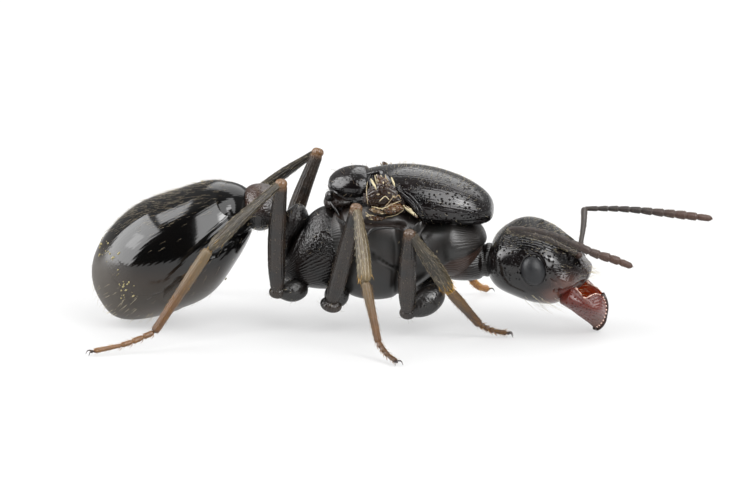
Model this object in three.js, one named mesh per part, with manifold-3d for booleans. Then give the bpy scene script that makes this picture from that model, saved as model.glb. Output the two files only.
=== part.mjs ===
// A harvester ant queen (Messor) that has shed her wings, life size, standing with her head lowered.
// Millimetres, +Z up, +X towards the head, +Y towards the ant's own left. The floor is Z = 0.
// Each body part is a rounded closed solid, and a thin cut parts it from the pieces it meets.

import * as THREE from 'three';
import { mergeVertices } from 'three/addons/utils/BufferGeometryUtils.js';
import Module from 'manifold-3d';

const wasm = await Module();
wasm.setup();

// ---- driving dimensions, mm ----

const CUT = 0.04;              // width of the thin cut between neighbouring pieces
const SMOOTH = 0.008;          // the most that a cut's fine slivers may move when they are merged away
const LIMB = 0.25;             // half thickness of legs and feelers, out to the tips of their setae
const JOINT_REACH = 0.16;      // how far a limb's end reaches past its joint
const TOE_HEIGHT = 0.2;        // height of a toe's middle, less than LIMB so that it stands on a flat
const FLOOR_DEPTH = 2;         // depth of the block that trims the toes level
const KEEP = 20;               // half size of the blocks that divide the gaster, larger than the ant

const BODY_SIDES = 16;
const BODY_RINGS = 10;
const LIMB_SIDES = 7;
const LIMB_RINGS = 6;
const FOOT_RINGS = 10;

// Half width of the body's main parts across the ant.
const HEAD_HALF = 1.38;
const SCUTUM_HALF = 1.12;
const GASTER_HALF = 1.58;

const SIDES = { left: 1, right: -1 };

// Where each leg's joints are, from the hip to the tip of the toe, and how stout its coxa is.
// bow is how far the middle of the thigh stands off the straight line, heel is the end of the first
// foot joint, and toe lies on the floor.
const LEGS = {
  front_right: {
    coxa: 0.38, hip: [2.35, -0.5, 1.25], trochanter: [1.52, -1.05, 0.6], bow: [-0.03, 0, 0],
    knee: [1.66, -2.2, 2.8], shin: [2.62, -1.85, 1.32], heel: [3.22, -1.0, 0.36], toe: [4.09, -0.98],
  },
  front_left: {
    coxa: 0.38, hip: [2.35, 0.5, 1.25], trochanter: [1.52, 1.05, 0.6], bow: [-0.03, 0, 0],
    knee: [1.38, 2.3, 2.95], shin: [2.2, 3.0, 1.75], heel: [2.76, 3.6, 0.42], toe: [3.12, 4.0],
  },
  mid_right: {
    coxa: 0.32, hip: [-0.15, -0.45, 1.15], trochanter: [-0.36, -0.93, 0.74], bow: [0.02, 0, 0],
    knee: [0.36, -1.95, 3.36], shin: [0.68, -3.0, 1.73], heel: [1.02, -3.42, 0.37], toe: [1.6, -4.3],
  },
  mid_left: {
    coxa: 0.32, hip: [-0.15, 0.45, 1.15], trochanter: [-0.36, 0.93, 0.74], bow: [0.02, 0, 0],
    knee: [0.36, 1.95, 3.2], shin: [0.62, 3.0, 1.7], heel: [0.95, 3.42, 0.37], toe: [1.5, 4.2],
  },
  hind_right: {
    coxa: 0.3, hip: [-1.0, -0.45, 1.1], trochanter: [-1.74, -0.82, 0.94], bow: [-0.06, 0, 0],
    knee: [-1.48, -1.7, 3.88], shin: [-3.13, -2.75, 2.42], heel: [-4.44, -3.0, 0.42], toe: [-5.93, -3.82],
  },
  hind_left: {
    coxa: 0.3, hip: [-1.0, 0.45, 1.1], trochanter: [-1.74, 0.82, 0.94], bow: [-0.15, 0, 0],
    knee: [-0.94, 1.85, 3.97], shin: [-2.78, 3.05, 2.52], heel: [-4.2, 3.5, 0.42], toe: [-5.4, 3.95],
  },
};

// Where each antenna leaves the head, bends at its elbow and ends.
const ANTENNAE = {
  right: {
    socket: [5.55, -0.5, 1.98], elbow: [4.07, -1.75, 2.87],
    bow: [5.6, -1.82, 2.52], tip: [7.1, -1.75, 1.98],
  },
  left: {
    socket: [5.62, 0.5, 1.98], elbow: [5.55, 2.3, 2.52],
    bow: [7.1, 2.5, 2.5], tip: [8.68, 2.6, 2.32],
  },
};

// ---- shapes ----

const vec = (p) => new THREE.Vector3(...p);

/** A smooth value along a piece, through evenly spaced stations. */
function along(stations) {
  const curve = new THREE.SplineCurve(stations.map((value, i) => new THREE.Vector2(i, value)));
  return (t) => curve.getPoint(t).y;
}

/** Only the positions of a geometry, with its shared vertices merged and its faces pointing out. */
function closed(geometry) {
  geometry.deleteAttribute('normal');
  geometry.deleteAttribute('uv');
  const merged = mergeVertices(geometry, 1e-5);
  const at = merged.attributes.position;
  const index = Array.from(merged.index.array);
  const [a, b, c] = [new THREE.Vector3(), new THREE.Vector3(), new THREE.Vector3()];
  const faces = [];
  let volume = 0;
  for (let i = 0; i < index.length; i += 3) {
    const [p, q, r] = index.slice(i, i + 3);
    if (p === q || q === r || r === p) continue;
    faces.push(p, q, r);
    b.fromBufferAttribute(at, q).cross(c.fromBufferAttribute(at, r));
    volume += a.fromBufferAttribute(at, p).dot(b);
  }
  merged.setIndex(volume > 0 ? faces : faces.reverse());
  return merged;
}

/**
 * A rounded body: a sphere whose rings are moved along a spine. Each ring reaches width to either
 * side, rise above the spine and drop below it; blunt under 1 makes the two ends fuller.
 */
function pod(shape) {
  const { spine, width, rise, drop = rise, side = [0, 1, 0], blunt = 1 } = shape;
  const { sides = BODY_SIDES, rings = BODY_RINGS } = shape;
  const curve = new THREE.CatmullRomCurve3(spine.map(vec), false, 'centripetal');
  const [w, up, down] = [along(width), along(rise), along(drop)];
  const geometry = new THREE.SphereGeometry(1, sides, rings);
  const at = geometry.attributes.position;
  const point = new THREE.Vector3();
  for (let i = 0; i < at.count; i++) {
    point.fromBufferAttribute(at, i);
    const t = THREE.MathUtils.clamp((1 - point.y) / 2, 0, 1);
    const ring = Math.hypot(point.x, point.z);
    const round = ring > 1e-6 ? ring ** (blunt - 1) : 0;
    const tangent = curve.getTangent(t);
    const across = vec(side).addScaledVector(tangent, -tangent.dot(vec(side))).normalize();
    const above = tangent.clone().cross(across);
    const height = (point.x > 0 ? up(t) : down(t)) * point.x * round;
    const centre = curve.getPoint(t);
    centre.addScaledVector(across, w(t) * point.z * round).addScaledVector(above, height);
    at.setXYZ(i, centre.x, centre.y, centre.z);
  }
  return closed(geometry);
}

/** A point moved on by a distance, in the direction away from another point. */
function beyond(point, other, distance) {
  const way = vec(point).sub(vec(other)).normalize();
  return vec(point).addScaledVector(way, distance).toArray();
}

/**
 * A round limb through points, with its half thickness at evenly spaced stations. The points are
 * its joints, so each end with a joint reaches a little past it; a tip does not.
 */
function limb(points, radius, { tip = false, rings = LIMB_RINGS } = {}) {
  const first = beyond(points[0], points[1], JOINT_REACH);
  const last = beyond(points.at(-1), points.at(-2), tip ? 0 : JOINT_REACH);
  const side = vec(last).sub(vec(first)).cross(new THREE.Vector3(1, 0, 0.4)).normalize().toArray();
  const spine = [first, ...points.slice(1, -1), last];
  return pod({ spine, side, width: radius, rise: radius, blunt: 0.4, sides: LIMB_SIDES, rings });
}

/** A block whose lower left front corner and upper right back corner are given. */
function block(low, high) {
  const size = vec(high).sub(vec(low));
  const box = new THREE.BoxGeometry(size.x, size.y, size.z);
  const middle = vec(low).addScaledVector(size, 0.5);
  return closed(box.translate(middle.x, middle.y, middle.z));
}

// ---- joins and cuts ----

function solid(geometry) {
  const vertProperties = new Float32Array(geometry.attributes.position.array);
  const triVerts = new Uint32Array(geometry.index.array);
  return new wasm.Manifold(new wasm.Mesh({ numProp: 3, vertProperties, triVerts }));
}

function geometryOf(manifold) {
  const mesh = manifold.getMesh();
  const geometry = new THREE.BufferGeometry();
  geometry.setAttribute('position', new THREE.BufferAttribute(new Float32Array(mesh.vertProperties), 3));
  geometry.setIndex(Array.from(mesh.triVerts));
  return geometry;
}

/** The same body with its surface moved out by the width of a thin cut. */
function grown(geometry) {
  const larger = geometry.clone();
  larger.computeVertexNormals();
  const [at, normal] = [larger.attributes.position, larger.attributes.normal];
  const [point, out] = [new THREE.Vector3(), new THREE.Vector3()];
  for (let i = 0; i < at.count; i++) {
    out.fromBufferAttribute(normal, i);
    point.fromBufferAttribute(at, i).addScaledVector(out, CUT);
    at.setXYZ(i, point.x, point.y, point.z);
  }
  larger.deleteAttribute('normal');
  return larger;
}

/** The largest piece of a body that a cut may have left in several. */
function largest(manifold) {
  return manifold.decompose().reduce((best, piece) => (piece.volume() > best.volume() ? piece : best));
}

// ---- finish ----

const CUTICLE = { color: 0x0c0b0c, roughness: 0.22 };
const LIMB_CUTICLE = { color: 0x1d1613, roughness: 0.4 };
const FOOT = { color: 0x7a4a24, roughness: 0.45 };
const FEELER = { color: 0x4a3020, roughness: 0.5 };
const JAW = { color: 0x6a1c10, roughness: 0.3 };
const EYE = { color: 0x3b4046, roughness: 0.45 };
const SCAR = { color: 0x5a3a1c, roughness: 0.4 };

// Earlier pieces keep their whole shape, and later ones give way to them.
const pieces = [];

function add(name, geometry, finish) {
  pieces.push({ name, geometry, finish });
}

// ---- head ----

function addEye(hand, way) {
  const centre = [4.6, way * 1.22, 1.82];
  const eye = new THREE.SphereGeometry(1, 12, 8).scale(0.25, 0.2, 0.34).rotateY(-0.3);
  add(`eye_${hand}`, closed(eye.translate(...centre)), EYE);
}

function addMandible(hand, way) {
  const blade = {
    spine: [[5.0, way * 0.8, 1.22], [5.66, way * 0.76, 0.9], [6.2, way * 0.14, 0.56]],
    side: [way * 0.55, 0.83, 0],
    width: [0.3, 0.26, 0.2],
    rise: [0.34, 0.36, 0.46],
    drop: [0.34, 0.34, 0.62],
    blunt: 0.45,
  };
  add(`mandible_${hand}`, pod({ ...blade, sides: 14 }), JAW);
}

function addAntenna(hand) {
  const { socket, elbow, bow, tip } = ANTENNAE[hand];
  const arch = vec(socket).lerp(vec(elbow), 0.5).add(new THREE.Vector3(0, 0, 0.08)).toArray();
  add(`scape_${hand}`, limb([socket, arch, elbow], [LIMB, LIMB, LIMB]), FEELER);
  add(`funiculus_${hand}`, limb([elbow, bow, tip], [LIMB, LIMB, LIMB], { tip: true }), FEELER);
}

function addHead() {
  const head = pod({
    spine: [[3.42, 0, 1.85], [4.7, 0, 1.7], [5.92, 0, 1.54]],
    width: [1.15, HEAD_HALF, HEAD_HALF, 1.22, 1.05],
    rise: [0.96, 1.1, 0.97, 0.72, 0.26],
    drop: [1.08, 0.94, 0.96, 0.95, 0.54],
    blunt: 0.9,
    rings: 12,
  });
  add('head', head, CUTICLE);
}

// ---- mesosoma, the middle of the body ----

function addMesosoma() {
  add('scutellum', pod({
    spine: [[-0.5, 0, 3.52], [0.15, 0, 3.54], [0.78, 0, 3.5]],
    width: [0.62, 0.72, 0.8],
    rise: [0.42, 0.47, 0.5],
    drop: [0.3, 0.34, 0.34],
    blunt: 0.75,
    sides: 16,
    rings: 9,
  }), CUTICLE);
  add('mesoscutum', pod({
    spine: [[-0.3, 0, 3.08], [1.6, 0, 3.12], [3.52, 0, 2.86]],
    width: [0.9, SCUTUM_HALF, SCUTUM_HALF, 1.08, 0.98],
    rise: [1.0, 0.94, 0.92, 0.88, 0.84],
    drop: [0.5, 0.5, 0.42, 0.4, 0.4],
    blunt: 0.75,
  }), CUTICLE);
  for (const [hand, way] of Object.entries(SIDES)) {
    add(`wing_scar_${hand}`, pod({
      spine: [[0.6, way * 0.98, 3.3], [1.0, way * 1.08, 3.34], [1.46, way * 1.04, 3.28]],
      width: [0.16, 0.2, 0.14],
      rise: [0.36, 0.44, 0.34],
      sides: 10,
      rings: 6,
    }), SCAR);
  }
  add('metanotum', pod({
    spine: [[-0.6, 0, 3.1], [-0.3, 0, 3.2], [0.3, 0, 3.25]],
    width: [0.6, 0.66, 0.7],
    rise: [0.17, 0.2, 0.2],
    sides: 14,
    rings: 6,
  }), CUTICLE);
  add('pronotum', pod({
    spine: [[1.5, 0, 2.45], [2.5, 0, 2.1], [3.36, 0, 2.2]],
    width: [0.9, 1.06, 0.86],
    rise: [0.6, 0.8, 0.7],
    drop: [0.55, 0.8, 0.55],
    blunt: 0.8,
  }), CUTICLE);
  add('mesothorax', pod({
    spine: [[-0.75, 0, 2.0], [0.7, 0, 2.05], [2.5, 0, 2.2]],
    width: [0.95, 1.14, 1.12, 0.9],
    rise: [1.1, 1.25, 1.3, 1.0],
    drop: [1.15, 1.3, 1.25, 0.9],
    blunt: 0.8,
  }), CUTICLE);
  add('propodeum', pod({
    spine: [[-1.66, 0, 1.25], [-0.63, 0, 1.72], [0.4, 0, 2.2]],
    width: [0.62, 0.84, 0.92, 0.95],
    rise: [0.35, 0.7, 1.03, 1.28, 1.45],
    drop: [0.36, 0.62, 0.8, 1.0],
    blunt: 0.8,
  }), CUTICLE);
  add('neck', pod({
    spine: [[2.1, 0, 1.62], [3.0, 0, 1.7], [3.95, 0, 1.84]],
    width: [0.74, 0.68, 0.4],
    rise: [0.4, 0.42, 0.36],
    drop: [0.42, 0.45, 0.4],
    blunt: 0.5,
    sides: 12,
    rings: 8,
  }), CUTICLE);
}

// ---- waist ----

function addWaist() {
  add('postpetiole', pod({
    spine: [[-2.6, 0, 2.9], [-2.12, 0, 2.91], [-1.6, 0, 2.88]],
    width: [0.66, 0.72, 0.6],
    rise: [0.64, 0.6, 0.54],
    drop: [0.5, 0.54, 0.4],
    blunt: 0.6,
    sides: 14,
    rings: 8,
  }), CUTICLE);
  add('petiole', pod({
    spine: [[-1.2, 0, 3.02], [-1.3, 0, 2.65], [-1.53, 0, 2.2], [-1.52, 0, 1.6]],
    width: [0.46, 0.52, 0.4, 0.32, 0.32],
    rise: [0.2, 0.32, 0.27, 0.18, 0.2],
    blunt: 0.7,
    sides: 14,
    rings: 10,
  }), CUTICLE);
}

// ---- gaster, the hind body ----

const GASTER = {
  spine: [[-5.95, 0, 0.35], [-4.2, 0, 1.75], [-2.45, 0, 3.15]],
  width: [1.35, 1.55, GASTER_HALF, 1.45, 1.25],
  rise: [1.72, 1.65, 1.56, 1.35, 1.4],
  drop: [0.93, 1.12, 1.3, 1.15, 1.03],
  blunt: 0.8,
  rings: 13,
};

// The first back plate's front end, a short neck that meets the waist.
const GASTER_NECK = {
  spine: [[-3.5, 0, 2.6], [-2.9, 0, 2.8], [-2.3, 0, 2.94]],
  width: [1.15, 0.95, 0.6],
  rise: [0.95, 0.78, 0.6],
  drop: [0.9, 0.75, 0.55],
  blunt: 0.5,
  sides: 12,
  rings: 6,
};

/** The part of the gaster between two places along it, in mm from the tip along its length. */
function gasterBand(whole, from, to) {
  const [tip, , front] = GASTER.spine;
  const turn = Math.atan2(front[2] - tip[2], front[0] - tip[0]);
  const band = block([from, -KEEP, -KEEP], [to, KEEP, KEEP]).rotateY(-turn).translate(...tip);
  return whole.intersect(solid(band));
}

function addGaster() {
  const whole = solid(pod(GASTER)).add(solid(pod(GASTER_NECK)));
  const edges = [-1, 0.34, 0.72, 1.2, 6];
  const names = ['gaster_tip', 'gaster_fourth_ring', 'gaster_third_ring'];
  names.forEach((name, i) => {
    const band = gasterBand(whole, edges[i] + CUT / 2, edges[i + 1] - CUT / 2);
    add(name, geometryOf(largest(band)), CUTICLE);
  });
  const first = gasterBand(whole, edges[3] + CUT / 2, edges[4]);
  const seamTurn = 0.64;
  const seam = [-2.75, 0, 2.3];
  const above = block([-KEEP, -KEEP, CUT / 2], [KEEP, KEEP, KEEP]).rotateY(-seamTurn).translate(...seam);
  const below = block([-KEEP, -KEEP, -KEEP], [KEEP, KEEP, -CUT / 2]).rotateY(-seamTurn).translate(...seam);
  add('gaster_first_tergite', geometryOf(largest(first.intersect(solid(above)))), CUTICLE);
  add('gaster_first_sternite', geometryOf(largest(first.intersect(solid(below)))), CUTICLE);
}

// ---- legs ----

function addLeg(name, leg) {
  const toe = [...leg.toe, TOE_HEIGHT];
  const ankle = vec(leg.heel).lerp(vec(toe), 0.45);
  ankle.z = TOE_HEIGHT;
  const thigh = vec(leg.trochanter).lerp(vec(leg.knee), 0.5).add(vec(leg.bow)).toArray();
  const calf = vec(leg.knee).lerp(vec(leg.shin), 0.5).toArray();
  add(`coxa_${name}`, limb([leg.hip, leg.trochanter], [leg.coxa, leg.coxa, leg.coxa * 0.75]), CUTICLE);
  add(`femur_${name}`, limb([leg.trochanter, thigh, leg.knee], [LIMB * 1.05, LIMB, LIMB]), LIMB_CUTICLE);
  add(`tibia_${name}`, limb([leg.knee, calf, leg.shin], [LIMB, LIMB, LIMB]), LIMB_CUTICLE);
  const sole = [leg.shin, leg.heel, ankle.toArray(), toe];
  const foot = solid(limb(sole, [LIMB, LIMB, LIMB, LIMB], { tip: true, rings: FOOT_RINGS }));
  const ground = solid(block([-KEEP, -KEEP, -FLOOR_DEPTH], [KEEP, KEEP, 0]));
  add(`tarsus_${name}`, geometryOf(foot.subtract(ground)), FOOT);
}

// ---- the whole ant ----

for (const [hand, way] of Object.entries(SIDES)) {
  addEye(hand, way);
  addMandible(hand, way);
}
addHead();
addMesosoma();
addWaist();
addGaster();
for (const hand of Object.keys(SIDES)) addAntenna(hand);
for (const [name, leg] of Object.entries(LEGS)) addLeg(name, leg);

/** Cuts every piece clear of the earlier ones that it meets. */
function parted() {
  const done = [];
  for (const piece of pieces) {
    piece.geometry.computeBoundingBox();
    let body = solid(piece.geometry);
    for (const other of done) {
      if (other.geometry.boundingBox.clone().expandByScalar(CUT).intersectsBox(piece.geometry.boundingBox)) {
        body = body.subtract(solid(grown(other.geometry)));
      }
    }
    done.push(piece);
    piece.shape = geometryOf(largest(body).simplify(SMOOTH));
  }
  return done;
}

const ant = new THREE.Group();
for (const { name, shape, finish } of parted()) {
  shape.computeVertexNormals();
  const mesh = new THREE.Mesh(shape, new THREE.MeshStandardMaterial(finish));
  mesh.name = name;
  ant.add(mesh);
}

// The origin is the middle of the footprint, on the floor.
const extent = new THREE.Box3().setFromObject(ant);
const footprint = extent.getCenter(new THREE.Vector3()).setZ(extent.min.z);
ant.position.copy(footprint.negate());

export default ant;
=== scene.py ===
"""A life-size museum model of a harvester ant queen (Messor) that has shed her wings.

Shapes are worked out in millimetres in the ant's own layout: X towards the head, Y towards her left side,
Z up from the floor. A surface is a grid of points, rows along the piece and columns round it, and
add_piece turns one or more grids into a mesh in metres at its place in the frame.
"""

import math

import bpy
import numpy as np
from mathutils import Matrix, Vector


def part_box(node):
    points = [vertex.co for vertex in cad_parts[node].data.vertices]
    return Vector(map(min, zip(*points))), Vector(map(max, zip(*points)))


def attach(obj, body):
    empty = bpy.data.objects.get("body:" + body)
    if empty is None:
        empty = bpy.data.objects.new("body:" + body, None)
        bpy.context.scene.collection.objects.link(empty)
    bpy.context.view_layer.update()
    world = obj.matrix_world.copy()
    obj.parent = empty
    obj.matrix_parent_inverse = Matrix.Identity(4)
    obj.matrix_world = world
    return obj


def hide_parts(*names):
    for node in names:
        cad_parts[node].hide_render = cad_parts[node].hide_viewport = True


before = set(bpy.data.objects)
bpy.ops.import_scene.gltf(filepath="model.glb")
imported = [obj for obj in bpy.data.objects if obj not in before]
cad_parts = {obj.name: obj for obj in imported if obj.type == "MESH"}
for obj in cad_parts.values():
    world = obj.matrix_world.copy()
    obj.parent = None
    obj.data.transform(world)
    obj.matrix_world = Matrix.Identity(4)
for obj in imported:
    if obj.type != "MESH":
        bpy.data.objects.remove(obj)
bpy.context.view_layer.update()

MM = 0.001
SIDES = {"left": 1, "right": -1}


# ---- the frame ----

EYE = np.array([4.6, 1.22, 1.82])       # middle of the left eye; the right one mirrors it


def middle_of(node):
    low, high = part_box(node)
    return (np.array(low) + np.array(high)) / 2


# The frame's origin is under the footprint's middle, so the eyes give the shift from the ant's own layout.
SHIFT = (middle_of("eye_left") + middle_of("eye_right")) / 2 - EYE * (MM, 0, MM)


def placed(points):
    """Points in millimetres in the ant's layout, moved to the frame, in metres."""
    return np.asarray(points, float) * MM + SHIFT


# ---- curves and surfaces ----

def unit(vectors):
    return vectors / np.maximum(np.linalg.norm(vectors, axis=-1, keepdims=True), 1e-12)


def spline(points, t):
    """Points at shares t of a smooth curve through evenly timed points (a Catmull-Rom curve)."""
    p = np.asarray(points, float)
    p = p.reshape(len(p), -1)
    p = np.vstack([2 * p[0] - p[1], p, 2 * p[-1] - p[-2]])
    s = np.clip(t, 0, 1) * (len(p) - 3)
    i = np.minimum(s.astype(int), len(p) - 4)
    f = (s - i)[:, None]
    a, b, c, d = (p[i + k] for k in range(4))
    return b + f / 2 * ((c - a) + f * ((2 * a - 5 * b + 4 * c - d) + f * (3 * b - a - 3 * c + d)))


def level(values, t):
    """A smooth value at shares t, through evenly spaced stations."""
    return spline(values, t)[:, 0]


def ramp(value, low, high):
    """0 below low, 1 above high, and an S-shaped curve between them."""
    x = np.clip((value - low) / (high - low), 0, 1)
    return x * x * (3 - 2 * x)


def tube(spine, t, width, rise, drop=None, side=(0, 1, 0), columns=64, square=2.0):
    """A closed grid round a curve. Row i is an oval at share t[i] of the spine: it reaches width[i] to
    either side, rise[i] above the spine and drop[i] below it, and its first column is at the bottom.
    square over 2 makes the oval boxier: both its sine and cosine are raised to the power 2 / square."""
    drop = rise if drop is None else drop
    ahead = unit(spline(spine, t + 1e-3) - spline(spine, t - 1e-3))
    across = unit(side - ahead * (ahead @ np.array(side, float))[:, None])
    above = np.cross(ahead, across)
    turn = np.linspace(0, 2 * np.pi, columns, endpoint=False)
    up = -np.sign(np.cos(turn)) * np.abs(np.cos(turn)) ** (2 / square)
    height = np.where(up > 0, rise[:, None], drop[:, None]) * up
    reach = width[:, None] * np.sign(np.sin(turn)) * np.abs(np.sin(turn)) ** (2 / square)
    return spline(spine, t)[:, None] + across[:, None] * reach[..., None] + above[:, None] * height[..., None]


def pod(spine, width, rise, drop=None, side=(0, 1, 0), blunt=1, side_blunt=None, rows=64, columns=80,
        square=2.0):
    """A rounded body: a tube whose rows shrink at both ends as a sphere's do; blunt under 1 makes the
    ends fuller, and side_blunt does so for the width alone. width, rise and drop are given at evenly
    spaced stations."""
    turn = np.linspace(0, np.pi, rows + 1)
    t = (1 - np.cos(turn)) / 2
    round_end = np.clip(np.sin(turn), 0, 1)
    round_end[[0, -1]] = 0
    ring = round_end ** blunt
    drop = rise if drop is None else drop
    wide = level(width, t) * round_end ** (side_blunt or blunt)
    return tube(spine, t, wide, level(rise, t) * ring, level(drop, t) * ring, side, columns, square)


def limb(path, radius, rows=40, columns=20, flat=1.0, side=None, cap=0.04):
    """A limb along a path, with its half thickness at evenly spaced stations and rounded ends, each
    cap long as a share of the whole; flat under 1 makes it thinner across."""
    t = np.concatenate([[0], np.linspace(0.1, 0.9, 4) * cap, np.linspace(cap, 1 - cap, rows - 9),
                        1 - np.linspace(0.9, 0.1, 4) * cap, [1]])
    end = np.minimum(np.minimum(t, 1 - t) / cap, 1)
    r = level(radius, t) * np.sqrt(np.maximum(1 - (1 - end) ** 2, 0))
    if side is None:
        side = unit(np.cross(np.subtract(path[-1], path[0]), (1, 0, 0.4)))
    return tube(path, t, r * flat, r, side=side, columns=columns)


def normals(grid):
    """Unit vectors out of a closed grid's surface, from the cross product of its two directions."""
    along = np.gradient(grid, axis=0)
    around = np.roll(grid, -1, 1) - np.roll(grid, 1, 1)
    out = unit(np.cross(around, along))
    centre = grid.mean(1, keepdims=True)
    if ((grid - centre) * out).sum() < 0:
        out = -out
    out[0] = unit(centre[0] - centre[1])
    out[-1] = unit(centre[-1] - centre[-2])
    return out


def push(grid, amount):
    """The grid moved out along its normals by amount, in millimetres; a pole stays one point."""
    amount = amount * np.ones(grid.shape[:2])
    amount[[0, -1]] = amount[[0, -1]].mean(1, keepdims=True)
    return grid + normals(grid) * amount[..., None]


def line(grid, path, width, axes=(0, 2)):
    """1 on a curve through path and falling to 0 within width of it, as a bell curve. Distances are
    measured in the two given axes: side view by default."""
    curve = spline(path, np.linspace(0, 1, 60))
    apart = grid[..., list(axes)][:, :, None] - curve
    return np.exp(-(apart ** 2).sum(-1).min(-1) / width ** 2)


def bump(grid, centre, size):
    """1 at a point and falling to 0 around it, as a bell curve with its own size along each axis."""
    return np.exp(-(((grid - centre) / size) ** 2).sum(-1))


def laid(grid, path, way, points=16):
    """A side-view path of X and Z laid onto one side of a surface: each point takes the Y of the nearest
    point of the grid there."""
    flat = spline(path, np.linspace(0, 1, points))
    side = grid[way * grid[..., 1] > 0.02]
    near = ((side[None][..., [0, 2]] - flat[:, None]) ** 2).sum(-1).argmin(1)
    return np.column_stack([flat[:, 0], side[near, 1], flat[:, 1]])


def strip(path, radius):
    """A thin ridge: a limb with eight sides."""
    return limb(path, radius, rows=30, columns=8, cap=0.1)


def mirrored(point, way):
    """A point of the left side, or the same on the right for way -1."""
    return np.array(point, float) * (1, way, 1)


# ---- meshes ----

def grid_mesh(grid):
    """Vertices, quads, triangles and corner UVs of a closed grid. u runs round the piece and v along it,
    both in millimetres at its mean girth."""
    rows, columns = grid.shape[0] - 1, grid.shape[1]
    ids = np.zeros((rows + 1, columns + 1), int)
    ids[1:-1, :-1] = 1 + np.arange((rows - 1) * columns).reshape(rows - 1, columns)
    ids[-1] = 1 + (rows - 1) * columns
    ids[1:-1, -1] = ids[1:-1, 0]
    verts = np.vstack([grid[:1, 0], grid[1:-1].reshape(-1, 3), grid[-1:, 0]])
    girth = np.linalg.norm(grid - np.roll(grid, 1, 1), axis=-1).sum(1).mean()
    step = np.linalg.norm(np.diff(grid.mean(1), axis=0), axis=-1)
    u = np.arange(columns + 1) / columns * girth
    v = np.concatenate([[0], np.cumsum(step)])
    uv = np.stack(np.meshgrid(u, v), -1)
    corners = [(slice(1, -2), slice(None, -1)), (slice(1, -2), slice(1, None)),
               (slice(2, -1), slice(1, None)), (slice(2, -1), slice(None, -1))]
    quads = np.stack([ids[c].ravel() for c in corners], -1)
    quad_uv = np.stack([uv[c].reshape(-1, 2) for c in corners], 1)
    first = np.stack([ids[0, :-1], ids[1, 1:], ids[1, :-1]], -1)
    last = np.stack([ids[-1, :-1], ids[-2, :-1], ids[-2, 1:]], -1)
    tri_uv = np.concatenate([np.stack([(uv[0, :-1] + uv[0, 1:]) / 2, uv[1, 1:], uv[1, :-1]], 1),
                             np.stack([(uv[-1, :-1] + uv[-1, 1:]) / 2, uv[-2, :-1], uv[-2, 1:]], 1)])
    return verts, quads, quad_uv, np.vstack([first, last]), tri_uv


def volume(verts, quads, tris):
    faces = np.vstack([quads[:, :3], quads[:, [0, 2, 3]], tris])
    a, b, c = (verts[faces[:, k]] for k in range(3))
    return (a * np.cross(b, c)).sum()


def mesh_object(name, verts, quads, tris, uv_name, quad_uv, tri_uv, attributes, material):
    mesh = bpy.data.meshes.new(name)
    mesh.vertices.add(len(verts))
    mesh.vertices.foreach_set("co", placed(verts).astype(np.float32).ravel())
    corners = np.concatenate([quads.ravel(), tris.ravel()]).astype(np.int32)
    mesh.loops.add(len(corners))
    mesh.loops.foreach_set("vertex_index", corners)
    sizes = np.concatenate([np.full(len(quads), 4), np.full(len(tris), 3)])
    mesh.polygons.add(len(sizes))
    mesh.polygons.foreach_set("loop_start", (np.cumsum(sizes) - sizes).astype(np.int32))
    mesh.polygons.foreach_set("loop_total", sizes.astype(np.int32))
    layer = mesh.uv_layers.new(name=uv_name)
    uv = np.concatenate([quad_uv.reshape(-1, 2), tri_uv.reshape(-1, 2)])
    layer.data.foreach_set("uv", uv.astype(np.float32).ravel())
    for key, values in attributes.items():
        mesh.attributes.new(key, "FLOAT", "POINT").data.foreach_set("value", values.astype(np.float32))
    mesh.update(calc_edges=True)
    mesh.validate()
    mesh.shade_smooth()
    mesh.materials.append(material)
    piece = bpy.data.objects.new(name, mesh)
    bpy.context.scene.collection.objects.link(piece)
    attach(piece, "root")
    return piece


def add_piece(name, material, slot, *surfaces, replaces=()):
    """One object of closed grids. A surface is a grid or a pair of a grid and its masks, which are grids
    of numbers that the material reads as attributes."""
    surfaces = [s if isinstance(s, tuple) else (s, {}) for s in surfaces]
    keys = sorted({key for _, masks in surfaces for key in masks})
    parts = {k: [] for k in ("verts", "quads", "quad_uv", "tris", "tri_uv")}
    values = {key: [] for key in keys}
    count = 0
    for grid, masks in surfaces:
        verts, quads, quad_uv, tris, tri_uv = grid_mesh(grid)
        if volume(verts - verts.mean(0), quads, tris) < 0:
            quads, quad_uv, tris, tri_uv = quads[:, ::-1], quad_uv[:, ::-1], tris[:, ::-1], tri_uv[:, ::-1]
        for key, value in zip(parts, (verts, quads + count, quad_uv, tris + count, tri_uv)):
            parts[key].append(value)
        for key in keys:
            mask = np.asarray(masks.get(key, 0.0)) * np.ones(grid.shape[:2])
            values[key].append(np.concatenate([[mask[0].mean()], mask[1:-1].ravel(), [mask[-1].mean()]]))
        count += len(verts)
    joined = {key: np.concatenate(value) for key, value in parts.items()}
    masks = {key: np.concatenate(value) for key, value in values.items()}
    piece = mesh_object(name, joined["verts"], joined["quads"], joined["tris"], "Lay", joined["quad_uv"],
                        joined["tri_uv"], masks, material)
    if replaces:
        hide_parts(*replaces)
    return piece


# ---- setae ----

HAIR_SIDES, HAIR_JOINTS = 3, 4
PATCH = 0.003               # side of the patch that each hair takes on its body's own unwrap
ROOT_DEPTH = 0.01           # how far under the shell a hair starts
LEAST_HEIGHT = 0.01         # no hair reaches nearer to the floor
TILES = 4                   # a coat piece's unwrap holds up to 4 x 4 bodies


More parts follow.
